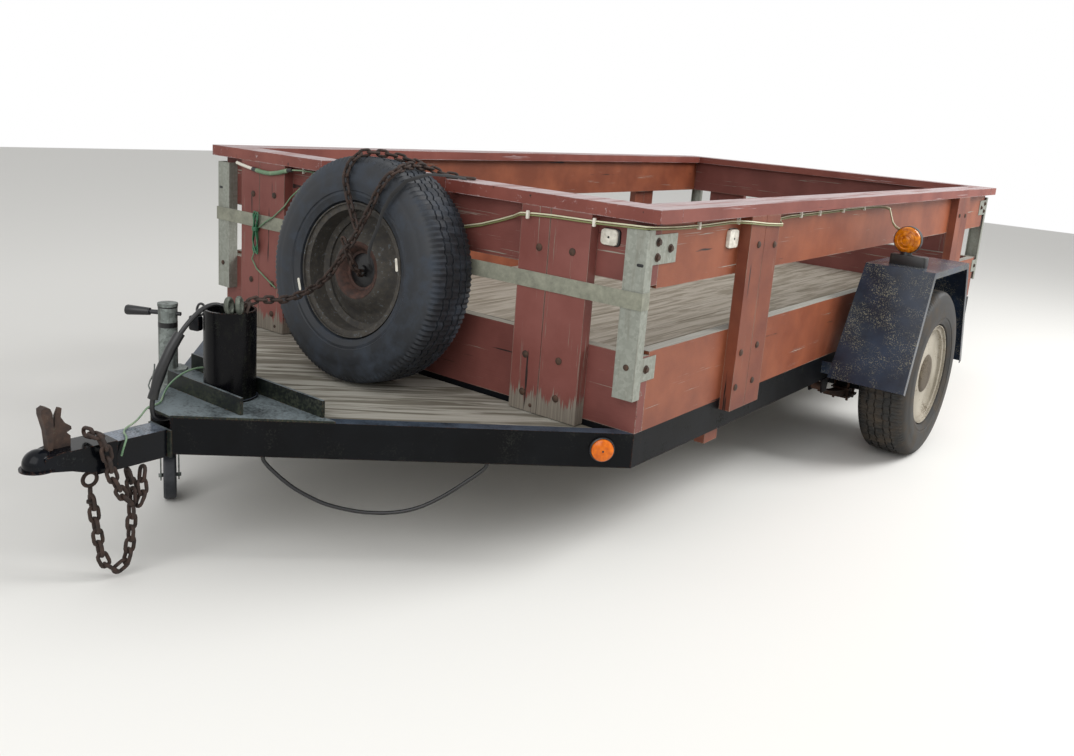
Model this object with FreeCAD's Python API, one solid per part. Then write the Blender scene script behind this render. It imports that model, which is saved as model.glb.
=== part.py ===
"""Utility trailer with slatted timber sides, leaf springs, one axle and a ball coupler.

Millimetres. X runs to the trailer's left, Y to the rear, Z up. The origin is on the
ground, midway between the coupler's nose and the rear edge of the gate's cap.
"""
import FreeCAD, Part

import math
import os

from FreeCAD import Rotation, Vector

# Timber box
LUMBER = 38.0            # thickness of every board, post and cap
BOX_LENGTH = 3658.0      # headboard's front face to gate's rear face
BOX_WIDTH = 1904.0       # outer faces of the side boards
LOWER_BOARD = 235.0      # height of the lower board
BOARD_GAP = 179.0        # open gap between the boards
UPPER_BOARD = 184.0      # height of the upper board
CAP_WIDTH = 115.0
CAP_OVERHANG = 38.0      # cap beyond the boards' outer faces
FLOOR_PLANKS = 13
PLANK_GAP = 4.0
GATE_GAP = 6.0           # clearance all round the lift-out gate
STAKE_WIDTH = 89.0
STAKE_FOOT = 345.0       # gate stakes stand in pockets on the rear rail
POCKET_WALL = 5.0
POCKET_HEIGHT = 50.0

# Steel frame
FRAME_TOP = 420.0
CHANNEL_HEIGHT = 102.0
CHANNEL_FLANGE = 41.0
CHANNEL_WALL = 6.0
CROSSMEMBERS = 7
CROSSMEMBER_HEIGHT = 64.0
TONGUE_LENGTH = 855.0    # headboard's face to the rails' front end
APEX_HALF_WIDTH = 51.0
PLATE = 6.0              # apex plate, brackets and tabs
APEX_PLATE_DEPTH = 290.0
DECK_DROP = 18.0         # the tongue's planks lie this far below the rails' tops
DECK_PLANK = 184.0
DECK_PLANKS = 7
TUBE_SIZE = 76.0         # square tongue tube ahead of the apex
TUBE_WALL = 5.0
TUBE_LENGTH = 190.0
TUBE_TOP = 385.0
COUPLER_REACH = 361.0    # apex to the coupler's nose

# Socket post and the two plates that clasp it
POST_RADIUS = 70.65
POST_WALL = 6.6
POST_TOP = 680.0
POST_SET = 211.0         # behind the apex
CLASP_HEIGHT = 48.0
CLASP_THICK = 8.0

# Running gear
TYRE_RADIUS = 350.0
TYRE_WIDTH = 205.0
RIM_RADIUS = 207.0
RIM_WIDTH = 172.0
BEAD_RADIUS = 190.0
RIM_WALL = 4.0
WHEEL_SET = 233.0        # tyre's middle plane, out from the box's side
AXLE_SET = 1792.0        # behind the headboard's face
AXLE_DROP = 102.0
AXLE_SIZE = 51.0
SPINDLE_RADIUS = 17.5
RUNNING_FIT = 0.05
HUB_RADIUS = 38.0
STUD_CIRCLE = 57.15
STUD_COUNT = 5
STUD_RADIUS = 6.35
SPRING_WIDTH = 45.0
SPRING_HALF = 330.0
SPRING_ARCH = 60.0
SPRING_LEAF = 7.0
SPRING_SET = 27.0        # spring's middle, in from the box's side
FENDER_TOP = 800.0
FENDER_FOOT = 330.0
FENDER_HALF_TOP = 250.0
FENDER_HALF_FOOT = 420.0
FENDER_SHEET = 3.0
FENDER_LIP = 25.0
FENDER_REACH = 107.0     # outer lip beyond the tyre's middle plane

# Jack on the right-hand tongue rail
JACK_ALONG = 359.5       # back from the apex, along the rail's face
JACK_OUT = 30.0          # outer tube's axis from the rail's face
JACK_RADIUS = 27.5
JACK_WALL = 2.5
JACK_TOP = 628.0
JACK_FOOT = 330.0
CRANK_TURN = 35.0        # the shaft's way round from straight right
LEG_RADIUS = 23.0
LEG_TOP = 470.0
CASTER_RADIUS = 75.0
CASTER_WIDTH = 38.0
CASTER_TRAIL = 22.0
CASTER_TURN = 148.8      # rolling direction, degrees from +X
FORK_TOP = 168.0
FORK_WALL = 4.0
FORK_CLEAR = 5.0
KINGPIN_RADIUS = 8.0

# Spare wheel, leaning on the headboard's strap
SPARE_X = 44.0
SPARE_Y = -175.0         # tyre's middle plane, from the headboard's face
SPARE_LEAN = 5.4
SPARE_TURN = 3.0

# Strap, corner irons and small fittings
STRAP_HEIGHT = 48.0
STRAP_BOTTOM = 780.0
STRAP_THICK = 3.0
IRON_WIDTH = 68.0
IRON_DEPTH = 36.0
IRON_BOTTOM = 522.0
IRON_TOP = 998.0
IRON_SET = 30.0          # middle of a corner iron, in from the box's side
HEAD_TRIM = 10.0         # headboard's two planks, each this much narrower than the side's
MARKER_RADIUS = 31.0
BEACON_RADIUS = 54.0

# Places that follow from the sizes
TOTAL_LENGTH = COUPLER_REACH + TONGUE_LENGTH + BOX_LENGTH + CAP_OVERHANG
HEAD_Y = -TOTAL_LENGTH / 2 + COUPLER_REACH + TONGUE_LENGTH
GATE_Y = HEAD_Y + BOX_LENGTH
AXLE_Y = HEAD_Y + AXLE_SET
APEX_Y = HEAD_Y - TONGUE_LENGTH
NOSE_Y = APEX_Y - COUPLER_REACH
SIDE_X = BOX_WIDTH / 2
FRAME_BOTTOM = FRAME_TOP - CHANNEL_HEIGHT
UPPER_BOTTOM = FRAME_TOP + LOWER_BOARD + BOARD_GAP
CAP_BOTTOM = UPPER_BOTTOM + UPPER_BOARD
CAP_TOP = CAP_BOTTOM + LUMBER
RAIL_END_Y = GATE_Y - GATE_GAP
POST_Y = APEX_Y + POST_SET
SPRING_TOP = TYRE_RADIUS - AXLE_DROP - AXLE_SIZE / 2 - PLATE
CAP_SIDE_X = SIDE_X + CAP_OVERHANG
CAP_FRONT_Y = HEAD_Y - CAP_OVERHANG
WHEEL_X = SIDE_X + WHEEL_SET
SPRING_X = SIDE_X - SPRING_SET
FENDER_OUT = WHEEL_X + FENDER_REACH
IRON_X = SIDE_X - IRON_SET
DECK_TOP = FRAME_TOP - DECK_DROP

FORWARD = Vector(0, -1, 0)
UP = Vector(0, 0, 1)
ACROSS = Vector(1, 0, 0)


def box(x, y, z):
    """A block from three (low, high) pairs."""
    return Part.makeBox(x[1] - x[0], y[1] - y[0], z[1] - z[0], Vector(x[0], y[0], z[0]))


def face_of(points):
    """A flat face from its corners, in order."""
    return Part.Face(Part.makePolygon(points + points[:1]))


def plan(points, low, high):
    """A plan outline of (x, y) corners, raised from low to high."""
    return face_of([Vector(x, y, low) for x, y in points]).extrude(Vector(0, 0, high - low))


def profile(points, left, right):
    """A side outline of (y, z) corners, drawn across from left to right."""
    return face_of([Vector(left, y, z) for y, z in points]).extrude(Vector(right - left, 0, 0))


def rod(start, direction, radius, length):
    return Part.makeCylinder(radius, length, start, direction)


def pipe(start, direction, radius, wall, length):
    return rod(start, direction, radius, length).cut(rod(start, direction, radius - wall, length))


def fuse(shapes):
    return shapes[0].multiFuse(shapes[1:]).removeSplitter() if len(shapes) > 1 else shapes[0]


def mirrored(shape):
    """The same piece on the trailer's other side."""
    return shape.mirror(Vector(0, 0, 0), ACROSS)


def turned(outline, centre, axis=ACROSS):
    """A ring turned from (along, radius) corners about an axis through the centre."""
    side = UP - axis * axis.dot(UP)
    side.normalize()
    corners = [centre + axis * along + side * radius for along, radius in outline]
    return face_of(corners).revolve(centre, axis, 360)


def save(node, shapes):
    shape = shapes[0] if len(shapes) == 1 else Part.makeCompound(shapes)
    shape.exportStep("parts/" + node + ".step")


def channel_outline(height, flange, wall):
    """Corners of a channel section: in from the web's outer face, up from the bottom."""
    return [(0, 0), (flange, 0), (flange, wall), (wall, wall), (wall, height - wall),
            (flange, height - wall), (flange, height), (0, height)]


def side_rail(sign):
    corners = [Vector(sign * (SIDE_X - inward), HEAD_Y + CHANNEL_FLANGE, FRAME_BOTTOM + up)
               for inward, up in channel_outline(CHANNEL_HEIGHT, CHANNEL_FLANGE, CHANNEL_WALL)]
    length = RAIL_END_Y - HEAD_Y - 2 * CHANNEL_FLANGE
    return face_of(corners).extrude(Vector(0, length, 0))


def end_rail(outer_y, inward_sign):
    """A cross channel with closed ends, under the headboard or under the gate."""
    corners = [Vector(-SIDE_X, outer_y + inward_sign * inward, FRAME_BOTTOM + up)
               for inward, up in channel_outline(CHANNEL_HEIGHT, CHANNEL_FLANGE, CHANNEL_WALL)]
    bar = face_of(corners).extrude(Vector(BOX_WIDTH, 0, 0))
    depth = sorted((outer_y, outer_y + inward_sign * CHANNEL_FLANGE))
    ends = [box(span, depth, (FRAME_BOTTOM, FRAME_TOP))
            for span in ((-SIDE_X, CHANNEL_WALL - SIDE_X), (SIDE_X - CHANNEL_WALL, SIDE_X))]
    return fuse([bar] + ends)


def crossmembers():
    first = HEAD_Y + CHANNEL_FLANGE
    pitch = (RAIL_END_Y - CHANNEL_FLANGE - first) / (CROSSMEMBERS + 1)
    span = (CHANNEL_WALL - SIDE_X, SIDE_X - CHANNEL_WALL)
    bars = []
    for number in range(1, CROSSMEMBERS + 1):
        y = first + number * pitch
        web = box(span, (y, y + CHANNEL_WALL), (FRAME_TOP - CHANNEL_WALL - CROSSMEMBER_HEIGHT,
                                                FRAME_TOP - CHANNEL_WALL))
        inner = (CHANNEL_FLANGE - SIDE_X, SIDE_X - CHANNEL_FLANGE)
        top = box(inner, (y, y + CHANNEL_FLANGE), (FRAME_TOP - CHANNEL_WALL, FRAME_TOP))
        bars.append(fuse([web, top]))
    return bars


MITRE = 0.5
RAIL_RUN = math.hypot(SIDE_X - APEX_HALF_WIDTH, TONGUE_LENGTH)
RAIL_ALONG = Vector((SIDE_X - APEX_HALF_WIDTH) / RAIL_RUN, TONGUE_LENGTH / RAIL_RUN, 0)
RAIL_OUT = Vector(RAIL_ALONG.y, -RAIL_ALONG.x, 0)


def rail_x(y, inset=0.0):
    """X of the left tongue rail's face at y, moved inward square to the face by inset."""
    across = (SIDE_X - APEX_HALF_WIDTH) * (y - APEX_Y) / TONGUE_LENGTH
    return APEX_HALF_WIDTH + across - inset / RAIL_OUT.x


def rail_strip(width, front=None, back=None):
    """Plan outline of a strip along the left tongue rail, stopped at the middle line."""
    front = APEX_Y if front is None else front
    back = HEAD_Y if back is None else back
    outer = [(rail_x(back), back), (rail_x(front), front)]
    inner_front = rail_x(front, width)
    if inner_front >= 0:
        return outer + [(inner_front, front), (rail_x(back, width), back)]
    slope = (rail_x(back, width) - inner_front) / (back - front)
    mitre_y = front + (MITRE - inner_front) / slope
    return outer + [(MITRE, front), (MITRE, mitre_y), (rail_x(back, width), back)]


def tongue_rail():
    web = plan(rail_strip(CHANNEL_WALL), FRAME_BOTTOM, FRAME_TOP)
    flanges = [plan(rail_strip(CHANNEL_FLANGE), low, low + CHANNEL_WALL)
               for low in (FRAME_BOTTOM, FRAME_TOP - CHANNEL_WALL)]
    return fuse([web] + flanges)


def tongue_crossbar(set_back):
    """A channel that carries the tongue's planks, between the rails' webs."""
    y = HEAD_Y - set_back
    half = rail_x(y, CHANNEL_WALL) - 1.0
    low = FRAME_BOTTOM + CHANNEL_WALL
    high = DECK_TOP - LUMBER
    web = box((-half, half), (y, y + CHANNEL_WALL), (low, high))
    top = box((-half, half), (y, y + CHANNEL_FLANGE), (high - CHANNEL_WALL, high))
    return fuse([web, top])


def tongue_planks():
    """Planks laid along the left tongue rail, cut to the bay between the rails."""
    clear = 3.0
    inset = CHANNEL_WALL + 14
    back = HEAD_Y - clear
    front = APEX_Y + APEX_PLATE_DEPTH + clear
    low, high = DECK_TOP - LUMBER, DECK_TOP
    front_half, back_half = rail_x(front, inset), rail_x(back, inset)
    bay = plan([(-front_half, front), (front_half, front), (back_half, back), (-back_half, back)], low, high)
    planks = []
    for number in range(DECK_PLANKS):
        near = inset + number * (DECK_PLANK + PLANK_GAP)
        far = near + DECK_PLANK
        strip = plan([(rail_x(back, near), back), (rail_x(front, near), front),
                      (rail_x(front, far), front), (rail_x(back, far), back)], low, high)
        planks.extend(strip.common(bay).Solids)
    return planks


def apex_plate():
    """Cover plate over the rails' meeting, with two flat bars on edge that clasp the post."""
    back = APEX_Y + APEX_PLATE_DEPTH
    outline = [(-APEX_HALF_WIDTH, APEX_Y - PLATE), (APEX_HALF_WIDTH, APEX_Y - PLATE),
               (APEX_HALF_WIDTH, APEX_Y), (rail_x(back), back), (-rail_x(back), back),
               (-APEX_HALF_WIDTH, APEX_Y)]
    top = plan(outline, FRAME_TOP, FRAME_TOP + PLATE)
    front = box((-APEX_HALF_WIDTH, APEX_HALF_WIDTH), (APEX_Y - PLATE, APEX_Y),
                (TUBE_TOP - TUBE_SIZE, TUBE_TOP))
    low = FRAME_TOP + PLATE
    clasps = [box((left, right), (y, y + CLASP_THICK), (low, low + CLASP_HEIGHT))
              for y, left, right in ((POST_Y - POST_RADIUS - CLASP_THICK, -184, 160),
                                     (POST_Y + POST_RADIUS, -300, 312))]
    return [fuse([top] + clasps), front]


def socket_post():
    foot = Vector(0, POST_Y, FRAME_TOP + PLATE)
    return pipe(foot, UP, POST_RADIUS, POST_WALL, POST_TOP - foot.z)


def tongue_tube():
    back = APEX_Y - PLATE
    front = back - TUBE_LENGTH
    half = TUBE_SIZE / 2
    outer = box((-half, half), (front, back), (TUBE_TOP - TUBE_SIZE, TUBE_TOP))
    bore = half - TUBE_WALL
    return outer.cut(box((-bore, bore), (front, back), (TUBE_TOP - TUBE_SIZE + TUBE_WALL, TUBE_TOP - TUBE_WALL)))


# Coupler: a pressed cover over the tongue tube that ends in the ball's housing
BALL_RADIUS = 25.4
SOCKET_CLEAR = 0.6
HOUSING_RADIUS = 36.0
COUPLER_WALL = 4.0
LIP = 7.0
SOCKET_Y = NOSE_Y + HOUSING_RADIUS + LIP
SOCKET_FLOOR = 346.0
SOCKET_SKIRT = 14.0
COUPLER_BACK = NOSE_Y + 218.0


def coupler():
    half = TUBE_SIZE / 2 + COUPLER_WALL
    top = TUBE_TOP + COUPLER_WALL
    side = [(COUPLER_BACK, 318), (COUPLER_BACK, top), (SOCKET_Y + 40, top), (SOCKET_Y, 380),
            (SOCKET_Y, SOCKET_FLOOR), (SOCKET_Y + 60, 336), (SOCKET_Y + 110, 318)]
    body = profile(side, -half, half)
    waist = plan([(-half, COUPLER_BACK), (-half, SOCKET_Y + 70), (-HOUSING_RADIUS, SOCKET_Y),
                  (HOUSING_RADIUS, SOCKET_Y), (half, SOCKET_Y + 70), (half, COUPLER_BACK)], 300, 400)
    body = body.common(waist)
    crown = Vector(0, SOCKET_Y, SOCKET_FLOOR + SOCKET_SKIRT)
    skirt = rod(Vector(0, SOCKET_Y, SOCKET_FLOOR), UP, HOUSING_RADIUS, SOCKET_SKIRT)
    dome = Part.makeSphere(HOUSING_RADIUS, crown).cut(
        box((-60, 60), (SOCKET_Y - 60, SOCKET_Y + 60), (SOCKET_FLOOR - 60, crown.z)))
    lip = rod(Vector(0, SOCKET_Y, SOCKET_FLOOR), UP, HOUSING_RADIUS + LIP, COUPLER_WALL)
    solid = fuse([body, skirt, dome, lip])
    bore = BALL_RADIUS + SOCKET_CLEAR
    mouth = 40.0
    socket = rod(Vector(0, SOCKET_Y, SOCKET_FLOOR - mouth), UP, bore, SOCKET_SKIRT + mouth)
    hollow = Part.makeSphere(bore, crown)
    inner = TUBE_SIZE / 2 + 0.5
    trough = box((-inner, inner), (SOCKET_Y + 62, COUPLER_BACK), (300, TUBE_TOP + 0.5))
    return solid.cut(socket).cut(hollow).cut(trough)


# Latch outlines: behind the ball's middle, and above the coupler's top
LEVER = [(20, 0), (30, 0), (34, 50), (33, 92), (28, 106), (16, 112), (6, 106), (6, 92), (16, 50)]
TRIGGER = [(30, 0), (76, 0), (77, 26), (68, 36), (80, 42), (79, 50), (64, 62), (55, 78), (58, 100), (50, 103),
           (42, 84), (40, 60), (31, 40)]


def coupler_latch():
    """Bent lever and hooked trigger plate on the coupler's top."""
    foot = TUBE_TOP + COUPLER_WALL
    pieces = []
    for outline, half in ((LEVER, 12), (TRIGGER, 5)):
        pieces.append(profile([(SOCKET_Y + y, foot + z) for y, z in outline], -half, half))
    return fuse(pieces)


def side_boards(sign):
    """Lower and upper board of one side, between headboard and gate."""
    x = sorted((sign * (SIDE_X - LUMBER), sign * SIDE_X))
    y = (HEAD_Y + LUMBER, GATE_Y - LUMBER - GATE_GAP)
    return [box(x, y, (FRAME_TOP, FRAME_TOP + LOWER_BOARD)), box(x, y, (UPPER_BOTTOM, CAP_BOTTOM))]


def head_boards():
    x = (-SIDE_X, SIDE_X)
    y = (HEAD_Y, HEAD_Y + LUMBER)
    return [box(x, y, (FRAME_TOP, FRAME_TOP + LOWER_BOARD - HEAD_TRIM)),
            box(x, y, (UPPER_BOTTOM + HEAD_TRIM, CAP_BOTTOM))]


def gate_boards():
    x = (GATE_GAP - SIDE_X, SIDE_X - GATE_GAP)
    y = (GATE_Y - LUMBER, GATE_Y)
    return [box(x, y, (FRAME_TOP + GATE_GAP, FRAME_TOP + LOWER_BOARD)), box(x, y, (UPPER_BOTTOM, CAP_BOTTOM))]


# Posts: start of the pair and the widths of its two planks
HEAD_POSTS = [(144.0 - SIDE_X, 106.0, 142.0), (SIDE_X - 428.0, 106.0, 142.0)]
SIDE_POSTS = [(518.0, 105.0, 105.0), (BOX_LENGTH - 728.0, 105.0, 105.0)]
HEAD_POST_FOOT = 405.0
SIDE_POST_FOOT = 386.0
SEAM = 1.0


def planks_of(posts):
    """The (low, high) span of each plank in a table of paired planks."""
    for start, first, second in posts:
        yield start, start + first - SEAM
        yield start + first + SEAM, start + first + second


def end_posts(face_y, outward):
    y = sorted((face_y, face_y + outward * LUMBER))
    return [box(span, y, (HEAD_POST_FOOT, CAP_BOTTOM)) for span in planks_of(HEAD_POSTS)]


def gate_stakes():
    """The (low, high) span across of each stake that runs down from a gate post."""
    for start, first, second in HEAD_POSTS:
        middle = start + (first + second) / 2
        yield middle - STAKE_WIDTH / 2, middle + STAKE_WIDTH / 2


def gate_posts():
    """The pairs of planks, each pair with one stake below its middle."""
    pairs = zip(HEAD_POSTS, gate_stakes())
    y = (GATE_Y, GATE_Y + LUMBER)
    posts = []
    for (start, first, second), stake in pairs:
        planks = [box((start, start + first + second), y, (HEAD_POST_FOOT, CAP_BOTTOM)),
                  box(stake, y, (STAKE_FOOT, HEAD_POST_FOOT))]
        seam = box((start + first - SEAM, start + first + SEAM), (y[1] - 6, y[1]), (HEAD_POST_FOOT, CAP_BOTTOM))
        posts.append(fuse(planks).cut(seam))
    return posts


def gate_pockets():
    """Strap pockets on the rear rail's face, each with a floor under its stake."""
    clear = GATE_GAP
    pockets = []
    for low, high in gate_stakes():
        x = (low - clear - POCKET_WALL, high + clear + POCKET_WALL)
        y = (RAIL_END_Y, GATE_Y + LUMBER + clear + POCKET_WALL)
        z = (STAKE_FOOT - POCKET_WALL, STAKE_FOOT + POCKET_HEIGHT)
        hollow = box((low - clear, high + clear), (RAIL_END_Y, y[1] - POCKET_WALL), (STAKE_FOOT, z[1]))
        pockets.append(box(x, y, z).cut(hollow))
    return pockets


def side_posts(sign):
    x = sorted((sign * SIDE_X, sign * (SIDE_X + LUMBER)))
    return [box(x, (HEAD_Y + low, HEAD_Y + high), (SIDE_POST_FOOT, CAP_BOTTOM))
            for low, high in planks_of(SIDE_POSTS)]


STAKE_BELOW = 66.0


def stakes(sign):
    """The side posts' inner stakes, which show below the frame rail."""
    inner = SIDE_X - CHANNEL_FLANGE
    x = sorted((sign * (inner - LUMBER - 1), sign * (inner - 1)))
    return [box(x, (HEAD_Y + start + 8, HEAD_Y + start + 8 + STAKE_WIDTH),
                (FRAME_BOTTOM - STAKE_BELOW, FRAME_TOP - CHANNEL_WALL - 1)) for start, _, _ in SIDE_POSTS]


NOTCH = (-365.0, 216.0)
NOTCH_DEPTH = 60.0


def front_cap():
    y = (CAP_FRONT_Y, CAP_FRONT_Y + CAP_WIDTH)
    board = box((-CAP_SIDE_X, CAP_SIDE_X), y, (CAP_BOTTOM, CAP_TOP))
    return board.cut(box(NOTCH, (y[0], y[0] + NOTCH_DEPTH), (CAP_BOTTOM, CAP_TOP)))


def side_cap(sign):
    x = sorted((sign * (CAP_SIDE_X - CAP_WIDTH), sign * CAP_SIDE_X))
    y = (CAP_FRONT_Y + CAP_WIDTH + 1, GATE_Y + CAP_OVERHANG - CAP_WIDTH - GATE_GAP)
    return box(x, y, (CAP_BOTTOM, CAP_TOP))


def gate_cap():
    y = (GATE_Y + CAP_OVERHANG - CAP_WIDTH, GATE_Y + CAP_OVERHANG)
    return box((-CAP_SIDE_X, CAP_SIDE_X), y, (CAP_BOTTOM, CAP_TOP))


def floor_planks():
    """Lengthwise planks on the frame, between the side boards."""
    clear = 2.0
    left = LUMBER - SIDE_X + clear
    pitch = (-2 * left + PLANK_GAP) / FLOOR_PLANKS
    y = (HEAD_Y + LUMBER + clear, GATE_Y - LUMBER - GATE_GAP)
    return [box((left + n * pitch, left + (n + 1) * pitch - PLANK_GAP), y,
                (FRAME_TOP, FRAME_TOP + LUMBER)) for n in range(FLOOR_PLANKS)]


# Tabs of the corner irons: bottom, top, and reach along the side boards
IRON_TABS = [(572.0, 640.0, 72.0), (902.0, 984.0, 124.0)]


def corner_iron(sign, face_y, outward, gap):
    """Channel post on a corner with two tabs bolted to the side boards."""
    near = face_y + outward * gap
    far = face_y + outward * IRON_DEPTH
    y = sorted((near, far))
    centre = sign * IRON_X
    post = box((centre - IRON_WIDTH / 2, centre + IRON_WIDTH / 2), y, (IRON_BOTTOM, IRON_TOP))
    wall = 3.0
    inside = sorted((near, far - outward * wall))
    post = post.cut(box((centre - IRON_WIDTH / 2 + wall, centre + IRON_WIDTH / 2 - wall), inside,
                        (IRON_BOTTOM, IRON_TOP)))
    tab_x = sorted((sign * SIDE_X, sign * (SIDE_X + wall)))
    tabs = [box(tab_x, sorted((far - outward * wall, face_y - outward * reach)), (low, high))
            for low, high, reach in IRON_TABS]
    return fuse([post] + tabs)


def head_strap():
    """Flat webbing across the headboard's posts and round both corner irons."""
    back = HEAD_Y - LUMBER
    outer = IRON_X + IRON_WIDTH / 2
    z = (STRAP_BOTTOM, STRAP_BOTTOM + STRAP_HEIGHT)
    run = box((-outer - STRAP_THICK, outer + STRAP_THICK), (back - STRAP_THICK, back), z)
    returns = [box(sorted((s * outer, s * (outer + STRAP_THICK))), (back, HEAD_Y - 2), z) for s in (-1, 1)]
    return fuse([run] + returns)


def axle():
    low = TYRE_RADIUS - AXLE_DROP
    half = AXLE_SIZE / 2
    knee = WHEEL_X - 149.0
    y = (AXLE_Y - half, AXLE_Y + half)
    beam = box((-knee, knee), y, (low - half, low + half))
    pieces = [beam]
    for sign in (-1, 1):
        riser = box(sorted((sign * (knee - AXLE_SIZE), sign * knee)), y, (low - half, TYRE_RADIUS + half))
        start = Vector(sign * (knee - 1), AXLE_Y, TYRE_RADIUS)
        pieces += [riser, rod(start, ACROSS * sign, SPINDLE_RADIUS, 186)]
    return fuse(pieces)


def leaf_band(half, arch_top, thickness):
    """One curved leaf as a side outline: low in the middle, ends raised."""
    radius = (SPRING_HALF ** 2 + SPRING_ARCH ** 2) / (2 * SPRING_ARCH)

    def rise(y, base):
        return base + radius - math.sqrt(radius ** 2 - y ** 2)

    def arc(base):
        ends = [Vector(0, AXLE_Y + y, rise(y, base)) for y in (-half, 0, half)]
        return Part.Arc(*ends).toShape(), ends

    upper, top = arc(arch_top)
    lower, bottom = arc(arch_top - thickness)
    wire = Part.Wire(Part.__sortEdges__([upper, Part.makeLine(top[2], bottom[2]), lower,
                                         Part.makeLine(bottom[0], top[0])]))
    return Part.Face(wire)


def leaf_spring(sign):
    """Four leaves under the axle, hung by two eyes from the side rail."""
    x0 = sign * SPRING_X - SPRING_WIDTH / 2
    pieces = []
    for number, half in enumerate((SPRING_HALF, 260.0, 190.0, 120.0)):
        leaf = leaf_band(half, SPRING_TOP - number * SPRING_LEAF, SPRING_LEAF)
        leaf.translate(Vector(x0, 0, 0))
        pieces.append(leaf.extrude(Vector(SPRING_WIDTH, 0, 0)))
    eye_z = SPRING_TOP + SPRING_ARCH
    for end in (-1, 1):
        pieces.append(rod(Vector(x0, AXLE_Y + end * SPRING_HALF, eye_z + 6), ACROSS, 17, SPRING_WIDTH))
    return fuse(pieces)


def spring_hangers(sign):
    """Pairs of cheeks welded under the side rail, one pair at each eye."""
    wall = 6.0
    eye_z = SPRING_TOP + SPRING_ARCH + 6
    cheeks = []
    for end in (-1, 1):
        y = AXLE_Y + end * SPRING_HALF
        for side in (-1, 1):
            inner = sign * SPRING_X + side * (SPRING_WIDTH / 2 + 1)
            span = sorted((inner, inner + side * wall))
            cheeks.append(profile([(y - 40, FRAME_BOTTOM), (y - 22, eye_z - 22), (y + 22, eye_z - 22),
                                   (y + 40, FRAME_BOTTOM)], span[0], span[1]))
    return cheeks


def spring_plates(sign):
    """Seat above and clamp plate below the leaves, tied by two U-bolts round the axle."""
    stack = 4 * SPRING_LEAF
    low = SPRING_TOP - stack - 10
    x = (sign * SPRING_X - 40, sign * SPRING_X + 40)
    seat = box(x, (AXLE_Y - 55, AXLE_Y + 55), (SPRING_TOP, SPRING_TOP + PLATE)).cut(leaf_spring(sign))
    clamp = box(x, (AXLE_Y - 55, AXLE_Y + 55), (low, low + 9))
    beam_top = TYRE_RADIUS - AXLE_DROP + AXLE_SIZE / 2
    pieces = [seat, clamp]
    bolt = 5.5
    for dx in (-30, 30):
        for dy in (-35, 35):
            foot = Vector(sign * SPRING_X + dx, AXLE_Y + dy, low - 12)
            pieces.append(rod(foot, UP, bolt, beam_top + 6 + 12 - low + bolt))
        bridge = Vector(sign * SPRING_X + dx, AXLE_Y - 35, beam_top + 6 + bolt)
        pieces.append(rod(bridge, Vector(0, 1, 0), bolt, 70))
    return fuse(pieces)


def tyre(centre, axis):
    """Ballooned side walls and a flat tread, as straight-sided rings."""
    half = TYRE_WIDTH / 2
    # Offset from the middle plane, and radius
    bead = RIM_WIDTH / 2 - 15
    wall = [(bead, BEAD_RADIUS + 1), (bead, RIM_RADIUS + 2), (half - 12, RIM_RADIUS + 6), (half, 268),
            (half - 10, 320), (half - 34, 345), (42, TYRE_RADIUS)]
    outline = wall + [(-along, radius) for along, radius in reversed(wall)]
    return turned(outline, centre, axis)


def stud_arms(axis):
    """From the wheel's middle to each stud, square to the axis."""
    side = axis.cross(UP)
    side.normalize()
    for number in range(STUD_COUNT):
        yield Rotation(axis, 360.0 * number / STUD_COUNT).multVec(side * STUD_CIRCLE)


def rim(centre, axis):
    """Drop-centre barrel and dished disc with a round bore for the hub."""
    half = RIM_WIDTH / 2
    skin = RIM_WALL
    outer = [(-half, RIM_RADIUS), (-half + 12, RIM_RADIUS), (-half + 14, BEAD_RADIUS), (-30, BEAD_RADIUS - 2),
             (-24, BEAD_RADIUS - 20), (10, BEAD_RADIUS - 20), (16, BEAD_RADIUS - 2), (half - 14, BEAD_RADIUS),
             (half - 12, RIM_RADIUS), (half, RIM_RADIUS)]
    inner = [(half, RIM_RADIUS - skin), (half - 8, RIM_RADIUS - skin), (half - 10, BEAD_RADIUS - skin),
             (16 + skin, BEAD_RADIUS - 2 - skin), (12, BEAD_RADIUS - 20 - skin), (-26, BEAD_RADIUS - 20 - skin),
             (-33, BEAD_RADIUS - 2 - skin), (-half + 10, BEAD_RADIUS - skin), (-half + 8, RIM_RADIUS - skin),
             (-half, RIM_RADIUS - skin)]
    barrel = turned(outer + inner, centre, axis)
    rim_foot = BEAD_RADIUS - 20 - skin
    disc = [(-6, 33), (-6, 78), (14, 96), (22, 118), (8, 150), (4, rim_foot), (4, rim_foot + 2),
            (0, rim_foot + 2), (0, rim_foot), (3, 148), (17, 118), (10, 99), (-11, 80), (-11, 33)]
    holes = [rod(centre + arm - axis * 20, axis, STUD_RADIUS + 0.5, 30) for arm in stud_arms(axis)]
    wheel = fuse([barrel, turned(disc, centre, axis)])
    return wheel.cut(Part.makeCompound(holes))


def hub(centre, axis):
    """Bearing hub with a stud flange and a domed grease cap, bored for the spindle."""
    shaft = SPINDLE_RADIUS + RUNNING_FIT
    outline = [(-139, shaft), (-139, 30), (-120, HUB_RADIUS), (-30, HUB_RADIUS), (-21, 70), (-11, 70),
               (-11, 32.5), (34, 32), (50, 26), (58, 0), (54, 0), (42, shaft)]
    body = turned(outline, centre, axis)
    studs = []
    for arm in stud_arms(axis):
        studs.append(rod(centre + arm - axis * 12, axis, STUD_RADIUS, 24))
        studs.append(rod(centre + arm - axis * 6, axis, 10.5, 14))
    return fuse([body] + studs)


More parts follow.
